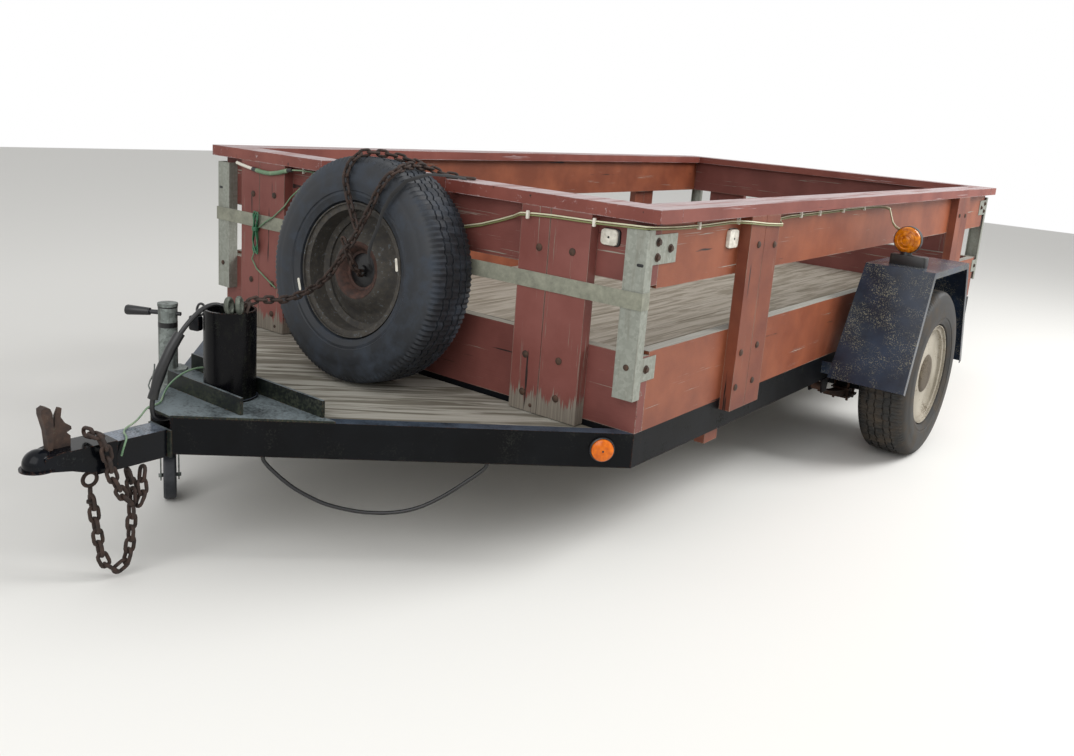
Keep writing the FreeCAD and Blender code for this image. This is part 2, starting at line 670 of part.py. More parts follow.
def fender(sign):
    """Folded steel sheet: flat top, two sloped ends, turned-down outer lip."""
    half_top, half_foot = FENDER_HALF_TOP, FENDER_HALF_FOOT
    outer = [(-half_foot, FENDER_FOOT), (-half_top, FENDER_TOP), (half_top, FENDER_TOP), (half_foot, FENDER_FOOT)]

    def offset(depth):
        rise = FENDER_TOP - FENDER_FOOT
        run = half_foot - half_top
        slant = math.hypot(rise, run)
        foot = half_foot - depth * slant / rise
        corner = half_top - depth * (slant - run) / rise
        return [(foot, FENDER_FOOT), (corner, FENDER_TOP - depth), (-corner, FENDER_TOP - depth),
                (-foot, FENDER_FOOT)]

    def band(depth, span):
        corners = [(AXLE_Y + y, z) for y, z in outer + offset(depth)]
        x = sorted(sign * value for value in span)
        return profile(corners, x[0], x[1])

    pieces = [band(FENDER_SHEET, (SIDE_X + PLATE, FENDER_OUT)), band(FENDER_LIP, (FENDER_OUT - FENDER_SHEET, FENDER_OUT))]
    x = sorted((sign * SIDE_X, sign * (SIDE_X + PLATE)))
    for end in (-1, 1):
        foot = sorted((AXLE_Y + end * (FENDER_HALF_FOOT - 90), AXLE_Y + end * (FENDER_HALF_FOOT - 2)))
        pieces.append(box(x, foot, (FENDER_FOOT, FENDER_FOOT + 80)))
    return fuse(pieces)


def beacon(sign):
    """Two-faced lamp on a black base, near the fender's front edge."""
    x = sign * (WHEEL_X - 60)
    y = AXLE_Y - 130
    base_top = FENDER_TOP + 40
    base = box((x - 95, x + 95), (y - 28, y + 28), (FENDER_TOP, base_top))
    centre = Vector(x, y, base_top + BEACON_RADIUS - 4)
    outline = [(-34, 0), (-30, 26), (-22, BEACON_RADIUS - 4), (-18, BEACON_RADIUS), (18, BEACON_RADIUS),
               (22, BEACON_RADIUS - 4), (30, 26), (34, 0)]
    lamp = turned(outline, centre, Vector(0, 1, 0))
    return fuse([base, lamp])


def rail_point(sign, along, out, z):
    """A point off the tongue rail's outer face: along from the apex, out from the face."""
    point = Vector(APEX_HALF_WIDTH, APEX_Y, 0) + RAIL_ALONG * along + RAIL_OUT * out
    return Vector(sign * point.x, point.y, z)


def marker_lamp(sign):
    """Round clearance lamp on the tongue rail, close to the box's corner."""
    z = FRAME_BOTTOM + 42
    foot = rail_point(sign, RAIL_RUN - 96, 0, z)
    out = Vector(sign * RAIL_OUT.x, RAIL_OUT.y, 0)
    return fuse([rod(foot, out, MARKER_RADIUS, 12), rod(foot, out, MARKER_RADIUS - 6, 22)])


def tail_lamps():
    """Square lamps under the rear rail, on drop brackets."""
    lamps = []
    for sign in (-1, 1):
        x = sign * (SIDE_X - 102)
        low = FRAME_BOTTOM - 96
        bracket = box((x - 20, x + 20), (RAIL_END_Y - 12, RAIL_END_Y - 6), (low + 40, FRAME_BOTTOM))
        lamps.append(fuse([bracket, box((x - 52, x + 52), (RAIL_END_Y - 6, RAIL_END_Y + 26), (low, low + 90))]))
    return lamps


def jack_point(z):
    return rail_point(-1, JACK_ALONG, JACK_OUT, z)


def jack_outline(corners):
    """Plan corners from (along, out) pairs beside the jack, along counted from its axis."""
    points = [rail_point(-1, JACK_ALONG + along, out, 0) for along, out in corners]
    return [(point.x, point.y) for point in points]


def jack_tube():
    """Capped outer tube, open below, through a plate on the apex and an arm off the rail's face."""
    tube = pipe(jack_point(JACK_FOOT), UP, JACK_RADIUS, JACK_WALL, JACK_TOP - JACK_FOOT)
    cap = rod(jack_point(JACK_TOP - 4), UP, JACK_RADIUS + 1.5, 9)
    low = FRAME_TOP + PLATE
    edge = JACK_OUT + JACK_RADIUS
    plate = plan(jack_outline([(-40, edge), (40, edge), (40, 2), (8, -24), (-20, -24), (-40, 2)]), low, low + 8)
    arm = plan(jack_outline([(-38, 0), (38, 0), (24, edge), (-24, edge)]), JACK_FOOT + 8, JACK_FOOT + 16)
    bore = rod(jack_point(FRAME_BOTTOM), UP, JACK_RADIUS - JACK_WALL, JACK_TOP - FRAME_BOTTOM - 4)
    return fuse([tube, cap, plate.cut(bore), arm.cut(bore)])


def jack_crank():
    """Crank arm and grip on the jack's head, with the shaft's end on the other side."""
    arm_way = Rotation(UP, CRANK_TURN).multVec(Vector(-1, 0, 0))
    hub_z = JACK_TOP - 26
    centre = jack_point(hub_z)
    shaft = rod(centre + arm_way * JACK_RADIUS, arm_way, 7, 34)
    arm_start = centre + arm_way * (JACK_RADIUS + 26)
    grip = rod(arm_start, arm_way, 11, 68)
    bolt = rod(centre - arm_way * JACK_RADIUS, arm_way * -1, 6, 12)
    return [fuse([shaft, grip]), bolt]


def jack_leg():
    """Inner tube with a kingpin below, for the caster."""
    low = FORK_TOP + 1
    tube = pipe(jack_point(low + 8), UP, LEG_RADIUS, 3.0, LEG_TOP - low - 8)
    plug = rod(jack_point(low), UP, LEG_RADIUS, 12)
    pin = rod(jack_point(FORK_TOP - FORK_WALL - 4), UP, KINGPIN_RADIUS, FORK_WALL + 8)
    head = rod(jack_point(FORK_TOP - FORK_WALL - 9), UP, KINGPIN_RADIUS + 5, 6)
    return fuse([tube, plug, pin, head])


ROLL = Vector(math.cos(math.radians(CASTER_TURN)), math.sin(math.radians(CASTER_TURN)), 0)
CASTER_AXIS = Vector(-ROLL.y, ROLL.x, 0)


def caster_centre():
    return jack_point(CASTER_RADIUS) + ROLL * CASTER_TRAIL


def caster_fork():
    """Folded fork: a top plate on the kingpin and two cheeks down to the axle."""
    half = CASTER_WIDTH / 2 + FORK_CLEAR
    pin = jack_point(0)

    def block(along, across, z):
        corners = []
        for a, c in ((along[0], across[0]), (along[1], across[0]), (along[1], across[1]), (along[0], across[1])):
            point = pin + ROLL * a + CASTER_AXIS * c
            corners.append((point.x, point.y))
        return plan(corners, z[0], z[1])

    top = block((-30, 34), (-half - FORK_WALL, half + FORK_WALL), (FORK_TOP - FORK_WALL, FORK_TOP))
    cheeks = []
    for side in (-1, 1):
        inner = side * half
        span = sorted((inner, inner + side * FORK_WALL))
        outline = [(-20, FORK_TOP), (32, FORK_TOP), (CASTER_TRAIL + 14, CASTER_RADIUS - 12),
                   (CASTER_TRAIL - 14, CASTER_RADIUS - 12)]
        corners = [pin + ROLL * a + CASTER_AXIS * span[0] + UP * z for a, z in outline]
        cheeks.append(face_of(corners).extrude(CASTER_AXIS * FORK_WALL))
    hole = rod(jack_point(FORK_TOP - 20), UP, KINGPIN_RADIUS + RUNNING_FIT, 40)
    start = caster_centre() - CASTER_AXIS * (half + FORK_WALL + 5)
    bolt = rod(start, CASTER_AXIS, 6, 2 * (half + FORK_WALL + 5))
    return fuse([top] + cheeks).cut(hole).fuse(bolt).removeSplitter()


def caster_wheel():
    half = CASTER_WIDTH / 2
    outline = [(-half, 6 + RUNNING_FIT), (-half, 24), (-half + 6, 28), (-half + 6, 52), (-half, 56), (-half, 70),
               (-half + 6, CASTER_RADIUS), (half - 6, CASTER_RADIUS), (half, 70), (half, 56), (half - 6, 52),
               (half - 6, 28), (half, 24), (half, 6 + RUNNING_FIT)]
    return turned(outline, caster_centre(), CASTER_AXIS)


# Spare wheel's middle point and axis, the axis pointing forward and a little up
LEAN = Rotation(ACROSS, -SPARE_LEAN)
TURN = Rotation(UP, SPARE_TURN)
SPARE_AXIS = TURN.multVec(LEAN.multVec(FORWARD))
SPARE_REST = TYRE_RADIUS * math.cos(math.radians(SPARE_LEAN)) + 45.0 * math.sin(math.radians(SPARE_LEAN))
SPARE_CENTRE = Vector(SPARE_X, HEAD_Y + SPARE_Y, DECK_TOP + SPARE_REST)


# Safety chain: one link, then each strand's route from its first link to its last
LINK_PITCH = 32.0
LINK_WIRE = 8.5
LINK_WIDTH = 31.0
EYE_WIRE = 10.0
CHAIN_Y = APEX_Y - 195
CHAIN_BOLT = (Vector(0, CHAIN_Y, 222), Vector(0, CHAIN_Y, 268))
CHAIN_EYE = (Vector(0, CHAIN_Y, 286), 46.0)
STRANDS = [
    [(2, 2, 240), (5, 11, 140), (9, 18, 74), (15, 34, 30), (22, 54, 22), (30, 78, 48), (35, 84, 110),
     (40, 85, 160), (45, 82, 205)],
    [(47, 78, 214), (54, 57, 240), (60, 34, 280), (62, 18, 330), (66, 10, 378), (54, 3, 410),
     (24, -1, 414), (-12, -3, 410)],
    [(44, 87, 216), (40, 90, 245), (34, 87, 270), (28, 84, 294)],
    [(50, 98, 204), (52, 114, 222), (47, 108, 250), (40, 116, 278), (36, 121, 298)],
]


def link(centre, along, flat, length, width, wire):
    """One link: a flat eight-sided ring with an eight-sided hole."""
    side = flat.cross(along)

    def ring(half_length, half_width):
        cut = half_width * 0.6
        corners = [(half_length, half_width - cut), (half_length - cut, half_width), (cut - half_length, half_width),
                   (-half_length, half_width - cut), (-half_length, cut - half_width), (cut - half_length, -half_width),
                   (half_length - cut, -half_width), (half_length, cut - half_width)]
        points = [centre + along * a + side * b - flat * (wire / 2) for a, b in corners]
        return face_of(points).extrude(flat * wire)

    return ring(length / 2, width / 2).cut(ring(length / 2 - wire, width / 2 - wire))


def strand(route):
    """Links set end to end along a route, each a quarter turn from the last."""
    points = [Vector(x, CHAIN_Y + y, z) for x, y, z in route]
    runs = list(zip(points, points[1:]))
    total = sum((b - a).Length for a, b in runs)
    count = max(1, round(total / LINK_PITCH))
    links = []
    for number in range(count):
        ends = []
        for mark in (number * total / count, (number + 1) * total / count):
            for a, b in runs:
                if mark <= (b - a).Length + 1e-6:
                    break
                mark -= (b - a).Length
            ends.append(a + (b - a).normalize() * mark)
        along = (ends[1] - ends[0]).normalize()
        flat = along.cross(ACROSS if abs(along.x) < 0.8 else UP).normalize()
        if number % 2:
            flat = flat.cross(along)
        links.append(link((ends[0] + ends[1]) * 0.5, along, flat, LINK_PITCH + 1.9 * LINK_WIRE, LINK_WIDTH, LINK_WIRE))
    return links


def safety_chains():
    """Three strands that meet below the tongue, on an eye and a long bolt."""
    top, foot = CHAIN_BOLT[1], CHAIN_BOLT[0]
    eye = link(CHAIN_EYE[0], UP, ACROSS, CHAIN_EYE[1], CHAIN_EYE[1], EYE_WIRE)
    pieces = [eye, rod(foot, UP, 5.5, top.z - foot.z)]
    for route in STRANDS:
        pieces += strand(route)
    return pieces


# Cords: half thickness, the point the route is counted from, and the route
TRAILER_CABLE = (6.5, Vector(0, APEX_Y, 0), [(14, 215, 570), (12, 215, 620), (9, 205, 668), (7, 173, 699),
                                             (5, 131, 697), (2, 92, 668), (-1, 59, 630), (-4, 31, 588),
                                             (-9, 9, 540), (-15, -5, 494), (-17, -14, 452),
                                             (-14, -17, 426), (-10, -12, 406), (-7, 5, 400),
                                             (-5, 33, 400)])
FLAT_WIRE = (2.6, Vector(0, APEX_Y, 0), [(-50, 273, 462), (-70, 249, 478), (-88, 217, 489),
                                         (-99, 179, 493), (-107, 143, 487), (-121, 115, 465),
                                         (-126, 95, 443), (-112, 77, 431), (-84, 55, 429.5),
                                         (-56, 33, 429.5), (-43, 11, 430), (-40, -14, 430),
                                         (-41, -30, 411), (-42, -47, 395), (-36, -71, 389),
                                         (-20, -91, 388.5), (4, -105, 388.5), (28, -113, 391),
                                         (45, -121, 388), (50, -132, 370), (49, -138, 348)])
CAP_WIRE = (2.5, Vector(SIDE_X, HEAD_Y, 0), [(-690, -3.5, 912), (-612, -3.5, 930), (-542, -3.5, 952),
                                             (-482, -9, 972), (-444, -34, 984), (-420, -54, 990),
                                             (-380, -45, 993), (-312, -42, 996), (-172, -42, 998),
                                             (-52, -42, 1003), (-6, -37, 1004), (8, -10, 1004),
                                             (5, 40, 1001), (3.5, 140, 998), (3.5, 290, 998),
                                             (3.5, 440, 999), (20, 482, 999), (45, 513, 998),
                                             (42, 556, 996), (42, 623, 995), (42, 690, 993),
                                             (45, 733, 991), (20, 764, 988), (3.5, 806, 985),
                                             (3.5, 890, 982), (3.5, 1140, 988), (3.5, 1340, 1000),
                                             (10, 1476, 998), (48, 1552, 952), (96, 1578, 884),
                                             (122, 1590, 838), (128, 1612, 822), (128, 1634, 822)])

# The frame's cable: half thickness, then shares of the rail's run, distances out from its face, and heights
FRAME_CABLE = (5.5, [(0.1829, -22.9, 318), (0.1829, -22.9, 303), (0.1945, -23.3, 284),
                     (0.209, -23.8, 265), (0.2284, -24.2, 242), (0.2533, -24.7, 218),
                     (0.286, -25.1, 194), (0.3189, -25.6, 175), (0.3585, -26, 162), (0.4003, -26.4, 153),
                     (0.4401, -26.9, 151), (0.4734, -27.3, 154), (0.5067, -27.8, 162),
                     (0.5398, -28.2, 177), (0.5834, -28.7, 209), (0.6213, -29.1, 244),
                     (0.6547, -29.6, 276), (0.675, -30, 300), (0.675, -30, 318)])


def cord(name, half, points):
    """A tube of straight runs joined by tangent arcs, swept along a route."""
    edges, start, tightest = [], points[0], None
    for before, here, after in zip(points, points[1:], points[2:]):
        back, on = before - here, after - here
        reach = 0.45 * min(back.Length, on.Length)
        half_turn = (math.pi - back.getAngle(on)) / 2
        radius = reach / math.tan(half_turn)
        tightest = radius if tightest is None else min(tightest, radius)
        back.normalize()
        on.normalize()
        first, last = here + back * reach, here + on * reach
        inward = (back + on).normalize()
        middle = here + inward * (radius / math.cos(half_turn) - radius)
        edges += [Part.LineSegment(start, first).toShape(), Part.Arc(first, middle, last).toShape()]
        start = last
    edges.append(Part.LineSegment(start, points[-1]).toShape())
    path = Part.Wire(edges)
    ring = Part.Wire([Part.makeCircle(half, points[0], points[1] - points[0])])
    tube = path.makePipeShell([ring], True, True)
    share = tube.Volume / (math.pi * half ** 2 * path.Length)
    print(name, "length", round(path.Length), "tightest radius", round(tightest, 1), "volume share", round(share, 4))
    return tube


def main():
    os.makedirs("parts", exist_ok=True)
    left, right = Vector(WHEEL_X, AXLE_Y, TYRE_RADIUS), Vector(-WHEEL_X, AXLE_Y, TYRE_RADIUS)
    save("side_rails", [fuse([side_rail(sign)] + spring_hangers(sign)) for sign in (1, -1)])
    save("end_rails", [end_rail(HEAD_Y, 1), fuse([end_rail(RAIL_END_Y, -1)] + gate_pockets())])
    save("crossmembers", crossmembers() + [tongue_crossbar(360.0), tongue_crossbar(70.0)])
    save("tongue_rails", [tongue_rail(), mirrored(tongue_rail())])
    save("tongue_planks", tongue_planks())
    save("apex_plate", apex_plate())
    save("socket_post", [socket_post()])
    save("tongue_tube", [tongue_tube()])
    save("coupler", [coupler()])
    save("coupler_latch", [coupler_latch().cut(coupler())])
    save("floor_planks", floor_planks())
    save("side_boards", side_boards(1) + side_boards(-1))
    save("side_posts", side_posts(1) + side_posts(-1) + stakes(1) + stakes(-1))
    save("top_caps", [front_cap(), side_cap(1), side_cap(-1)])
    save("head_boards", head_boards())
    save("head_posts", end_posts(HEAD_Y, -1))
    save("gate_boards", gate_boards())
    save("gate_posts", gate_posts())
    save("gate_cap", [gate_cap()])
    save("corner_irons", [corner_iron(s, y, out, gap) for s in (-1, 1)
                          for y, out, gap in ((HEAD_Y, -1, 0.0), (GATE_Y, 1, GATE_GAP))])
    save("head_strap", [head_strap()])
    save("axle", [axle()])
    save("leaf_springs", [leaf_spring(1), leaf_spring(-1)])
    save("spring_plates", [spring_plates(1), spring_plates(-1)])
    save("fenders", [fender(1), fender(-1)])
    for name, centre, axis in (("left", left, ACROSS), ("right", right, ACROSS * -1),
                               ("spare", SPARE_CENTRE, SPARE_AXIS)):
        save("tyre_" + name, [tyre(centre, axis)])
        save("rim_" + name, [rim(centre, axis)])
        if name != "spare":
            save("hub_" + name, [hub(centre, axis)])
    save("amber_lamps", [beacon(1), beacon(-1), marker_lamp(1), marker_lamp(-1)])
    save("tail_lamps", tail_lamps())
    save("safety_chains", safety_chains())
    for name, (half, base, route) in (("trailer_cable", TRAILER_CABLE), ("flat_wire", FLAT_WIRE),
                                      ("cap_wire", CAP_WIRE)):
        save(name, [cord(name, half, [base + Vector(*point) for point in route])])
    half, route = FRAME_CABLE
    save("frame_cable", [cord("frame_cable", half, [rail_point(1, share * RAIL_RUN, out, z)
                                                    for share, out, z in route])])
    save("jack_tube", [jack_tube()])
    save("jack_crank", jack_crank())
    save("jack_leg", [jack_leg()])
    save("caster_fork", [caster_fork()])
    save("caster_wheel", [caster_wheel()])


main()
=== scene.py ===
"""The looks of a slat-sided timber utility trailer on its steel frame.

Metres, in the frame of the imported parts: X to the trailer's left, Y to the rear, Z up.
"""

import math
from functools import partial

import bmesh
import bpy
from mathutils import Euler, Matrix, Vector


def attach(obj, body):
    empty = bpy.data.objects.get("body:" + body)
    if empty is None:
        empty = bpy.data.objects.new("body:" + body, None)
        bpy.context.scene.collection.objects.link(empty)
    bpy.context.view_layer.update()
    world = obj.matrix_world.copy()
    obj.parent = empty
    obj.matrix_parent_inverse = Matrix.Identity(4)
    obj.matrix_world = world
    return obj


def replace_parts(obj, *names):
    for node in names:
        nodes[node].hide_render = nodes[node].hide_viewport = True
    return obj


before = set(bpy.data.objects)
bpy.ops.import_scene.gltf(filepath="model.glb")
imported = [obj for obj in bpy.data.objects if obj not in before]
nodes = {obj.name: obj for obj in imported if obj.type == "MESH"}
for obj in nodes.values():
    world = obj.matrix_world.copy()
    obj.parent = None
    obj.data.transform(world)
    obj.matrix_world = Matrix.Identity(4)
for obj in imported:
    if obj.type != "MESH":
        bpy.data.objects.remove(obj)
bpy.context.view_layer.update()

MM = 0.001
ACROSS, REAR, UP = Vector((1, 0, 0)), Vector((0, 1, 0)), Vector((0, 0, 1))

# The camera's place, turn and reach
IMAGE_WIDTH = 1074
CAMERA_PLACE = Vector((2.25774, -3.44294, 1.29091))
CAMERA_TURN = Euler([math.radians(angle) for angle in (77.0216, -4.6550, 36.2998)])
FOCAL_PIXELS = 953.4
MIDDLE_RIGHT = 33        # the optical middle lies this many pixels right of the frame's middle
MIDDLE_UP = 48

# Places on the trailer, as the parts have them
HEAD_FACE = -1.240
GATE_FACE = 2.418
SIDE_FACE = 0.952
LUMBER = 0.038
FRAME_BOTTOM = 0.318
IRON_STAND = 0.036       # the corner irons' front faces stand this far off the boards
IRON_SIDE = SIDE_FACE + 0.003
AXLE_REAR = 0.552
TYRE_WIDTH = 0.205
WHEELS = {
    "left": (Vector((1.185, AXLE_REAR, 0.350)), ACROSS, "wheel_left"),
    "right": (Vector((-1.185, AXLE_REAR, 0.350)), -ACROSS, "wheel_right"),
    "spare": (Vector((0.044, -1.415, 0.75468)), Vector((0.0521, -0.9942, 0.0941)).normalized(),
              "trailer"),
}
RAIL_ALONG = Vector((0.7254, 0.6883, 0))
RAIL_OUT = Vector((0.6883, -0.7254, 0))
RAIL_FRONT = Vector((0.051, -2.095, 0))
RAIL_TURN = math.atan2(RAIL_ALONG.y, RAIL_ALONG.x)
JACK = Vector((-0.33242, -1.86930, 0))
CRANK_WAY = Vector((-0.8192, -0.5736, 0))
JACK_TOP = 0.628


def linear(code):
    """An sRGB hex colour as the linear values that a shader takes."""
    channels = [int(code[i:i + 2], 16) / 255 for i in (1, 3, 5)]
    return [c / 12.92 if c <= 0.04045 else ((c + 0.055) / 1.055) ** 2.4 for c in channels] + [1.0]


def add_node(tree, kind, inputs, out=0, **settings):
    """Adds one shader node. Each input is a value or a socket, and one output comes back."""
    made = tree.nodes.new("ShaderNode" + kind)
    for name, value in settings.items():
        setattr(made, name, value)
    for socket, value in inputs.items():
        if isinstance(value, bpy.types.NodeSocket):
            tree.links.new(value, made.inputs[socket])
        else:
            made.inputs[socket].default_value = value
    return made.outputs[out] if made.outputs else made


def surface(name):
    """An empty material, what adds nodes to it, and the place on the object in metres."""
    material = bpy.data.materials.new(name)
    material.use_nodes = True
    material.node_tree.nodes.clear()
    add = partial(add_node, material.node_tree)
    return material, add, add("TexCoord", {}, "Object")


def painted_steel(name, coat, faded, grime, rust="#4a2c1e", grimy=0.45, grit=4.0, shine=0.42, chipped=0.5,
                  level_sheen_and_dust=None, streaks=None, climb=None, gloss=0.3, flecked=None):
    """Brushed or sprayed enamel on rolled steel: dull film, settled dirt, rust where edges are rubbed.

    Level faces may take a pale bluish colour, part settled dust and part painted sky reflection;
    upright ones pale runs, and the foot a growth that climbs from below. Flecks are the small
    pale spatters of dried mud.
    """
    material, add, place = surface(name)
    cloud = add("TexNoise", {"Vector": place, "Scale": 1 / (180 * MM), "Detail": 5.0, "Roughness": 0.6})
    fade = add("MapRange", {"Value": cloud, "From Min": 0.38, "From Max": 0.66})
    film = add("Mix", {0: fade, 6: linear(coat), 7: linear(faded)}, 2, data_type="RGBA")
    specks = add("TexNoise", {"Vector": place, "Scale": 1 / (grit * MM), "Detail": 3.0, "Roughness": 0.7})
    drift = add("TexNoise", {"Vector": place, "Scale": 1 / (95 * MM), "Detail": 4.0, "Roughness": 0.65})
    settled = add("Math", {0: specks, 1: drift}, operation="MULTIPLY")
    dirty = add("MapRange", {"Value": settled, "From Min": 0.36 - 0.22 * grimy,
                             "From Max": 0.46 - 0.12 * grimy})
    layers = [(dirty, grime)]
    facing = add("NewGeometry", {}, "Normal")
    if streaks:
        run = add("TexNoise", {"Vector": add("Mapping", {"Vector": place, "Scale": (55.0, 55.0, 9.0)}),
                               "Scale": 1.0, "Detail": 4.0, "Roughness": 0.6})
        patch = add("Math", {0: run, 1: drift}, operation="MULTIPLY")
        smear = add("MapRange", {"Value": patch, "From Min": 0.27, "From Max": 0.40, "To Max": 0.55})
        layers.append((smear, streaks))
    if climb:
        growth, low, high = climb
        height = add("SeparateXYZ", {"Vector": place}, "Z")
        lift = add("Math", {0: height, 1: add("Math", {0: drift, 1: 0.16}, operation="MULTIPLY")})
        near = add("MapRange", {"Value": lift, "From Min": high, "From Max": low, "To Max": 0.8})
        held = add("MapRange", {"Value": settled, "From Min": 0.16, "From Max": 0.34})
        layers.append((add("Math", {0: near, 1: held}, operation="MULTIPLY"), growth))
    # Level faces: a pale bluish colour on the settled-dirt pattern, part dust and part painted sky
    # reflection
    if level_sheen_and_dust:
        upward = add("MapRange", {"Value": add("SeparateXYZ", {"Vector": facing}, "Z"), "From Min": 0.6,
                                  "From Max": 0.95, "To Max": 0.9})
        bed = add("MapRange", {"Value": settled, "From Min": 0.10, "From Max": 0.30})
        layers.append((add("Math", {0: upward, 1: bed}, operation="MULTIPLY"), level_sheen_and_dust))
    if flecked:
        fleck = add("TexNoise", {"Vector": place, "Scale": 1 / (4.2 * MM), "Detail": 2.0,
                                 "Roughness": 0.5})
        spot = add("MapRange", {"Value": fleck, "From Min": 0.57, "From Max": 0.61})
        region = add("MapRange", {"Value": drift, "From Min": 0.42, "From Max": 0.60, "To Max": 0.85})
        layers.append((add("Math", {0: spot, 1: region}, operation="MULTIPLY"), flecked))
    rounded = add("Bevel", {"Radius": 5 * MM}, samples=4)
    square = add("VectorMath", {0: rounded, 1: facing}, "Value", operation="DOT_PRODUCT")
    edge = add("MapRange", {"Value": square, "From Min": 0.995, "From Max": 0.86})
    chips = add("MapRange", {"Value": specks, "From Min": 0.62 - 0.25 * chipped, "From Max": 0.66})
    layers.append((add("Math", {0: edge, 1: chips}, operation="MULTIPLY"), rust))
    colour = film
    for share, shade in layers:
        colour = add("Mix", {0: share, 6: colour, 7: linear(shade)}, 2, data_type="RGBA")
    dull = add("MapRange", {"Value": dirty, "To Min": shine, "To Max": 0.85})
    relief = add("Bump", {"Height": settled, "Strength": 0.25, "Distance": 0.6 * MM})
    shader = add("BsdfPrincipled", {"Base Color": colour, "Roughness": dull, "Normal": relief, "IOR": 1.5,
                                    "Specular IOR Level": gloss})
    add("OutputMaterial", {"Surface": shader})
    return material


def weathered_board(name, grain, paint, faded, bare, peeled=0.35, top_worn=0.0, foot=None, sheen=0.62):
    """Sawn softwood under old oil paint: long grain, flaked patches and cracks that run with it.

    A foot gives the heights between which the paint is gone.
    """
    material, add, place = surface(name)
    fibre = [1 / (3.5 * MM)] * 3
    streak = [1 / (26 * MM)] * 3
    fibre[grain], streak[grain] = 1 / (260 * MM), 1 / (520 * MM)
    fine = add("TexNoise", {"Vector": add("Mapping", {"Vector": place, "Scale": fibre}), "Scale": 1.0,
                            "Detail": 5.0, "Roughness": 0.6, "Distortion": 0.4})
    broad = add("TexNoise", {"Vector": add("Mapping", {"Vector": place, "Scale": streak}), "Scale": 1.0,
                             "Detail": 4.0, "Roughness": 0.55})
    cloud = add("TexNoise", {"Vector": place, "Scale": 1 / (240 * MM), "Detail": 4.0, "Roughness": 0.6})
    tone = add("MapRange", {"Value": cloud, "From Min": 0.36, "From Max": 0.64})
    coat = add("Mix", {0: tone, 6: linear(paint), 7: linear(faded)}, 2, data_type="RGBA")
    grained = add("MapRange", {"Value": fine, "From Min": 0.3, "From Max": 0.62, "To Min": 0.62,
                               "To Max": 1.12})
    timber = add("Mix", {0: 1.0, 6: linear(bare), 7: grained}, 2, data_type="RGBA", blend_type="MULTIPLY")
    worn = add("Math", {0: fine, 1: broad}, operation="MULTIPLY")
    facing = add("NewGeometry", {}, "Normal")
    high = add("SeparateXYZ", {"Vector": facing}, "Z")
    upward = add("MapRange", {"Value": high, "From Min": 0.6, "From Max": 0.95,
                              "To Max": 0.16 * top_worn})
    rounded = add("Bevel", {"Radius": 4 * MM}, samples=4)
    square = add("VectorMath", {0: rounded, 1: facing}, "Value", operation="DOT_PRODUCT")
    edge = add("MapRange", {"Value": square, "From Min": 0.998, "From Max": 0.88, "To Max": 0.17})
    bared = add("Math", {0: add("Math", {0: worn, 1: upward}), 1: edge})
    if foot:
        low = add("MapRange", {"Value": add("SeparateXYZ", {"Vector": place}, "Z"), "From Min": foot[1],
                               "From Max": foot[0], "To Max": 0.3})
        bared = add("Math", {0: bared, 1: low})
    limit = 0.40 - 0.16 * peeled
    flaked = add("MapRange", {"Value": bared, "From Min": limit, "From Max": limit + 0.025})
    colour = add("Mix", {0: flaked, 6: coat, 7: timber}, 2, data_type="RGBA")
    crack = add("MapRange", {"Value": broad, "From Min": 0.318, "From Max": 0.29})
    split = add("Mix", {0: crack, 6: colour, 7: linear("#1d1310")}, 2, data_type="RGBA")
    rough = add("MapRange", {"Value": flaked, "To Min": sheen, "To Max": 0.92})
    height = add("Math", {0: add("Math", {0: fine, 1: flaked}, operation="SUBTRACT"), 1: crack},
                 operation="SUBTRACT")
    relief = add("Bump", {"Height": height, "Strength": 0.5, "Distance": 0.8 * MM})
    shader = add("BsdfPrincipled", {"Base Color": split, "Roughness": rough, "Normal": relief,
                                    "IOR": 1.45})
    add("OutputMaterial", {"Surface": shader})
    return material


def bare_plank(name, grain, pale, dark, stain, turn=0.0):
    """Unpainted deck planks gone silver grey, with dark stains and open grain in the turned direction."""
    material, add, place = surface(name)
    place = add("VectorRotate", {"Vector": place, "Angle": -turn}, rotation_type="Z_AXIS")
    fibre = [1 / (4 * MM)] * 3
    streak = [1 / (30 * MM)] * 3
    fibre[grain], streak[grain] = 1 / (300 * MM), 1 / (420 * MM)
    fine = add("TexNoise", {"Vector": add("Mapping", {"Vector": place, "Scale": fibre}), "Scale": 1.0,
                            "Detail": 6.0, "Roughness": 0.65, "Distortion": 0.6})
    broad = add("TexNoise", {"Vector": add("Mapping", {"Vector": place, "Scale": streak}), "Scale": 1.0,
                             "Detail": 4.0, "Roughness": 0.6, "Distortion": 0.8})
    shade = add("MapRange", {"Value": fine, "From Min": 0.36, "From Max": 0.62})
    wood = add("Mix", {0: shade, 6: linear(dark), 7: linear(pale)}, 2, data_type="RGBA")
    wet = add("MapRange", {"Value": broad, "From Min": 0.56, "From Max": 0.42})
    colour = add("Mix", {0: wet, 6: wood, 7: linear(stain)}, 2, data_type="RGBA")
    relief = add("Bump", {"Height": fine, "Strength": 0.6, "Distance": 1.2 * MM})
    shader = add("BsdfPrincipled", {"Base Color": colour, "Roughness": 0.86, "Normal": relief,
                                    "IOR": 1.4})
    add("OutputMaterial", {"Surface": shader})
    return material


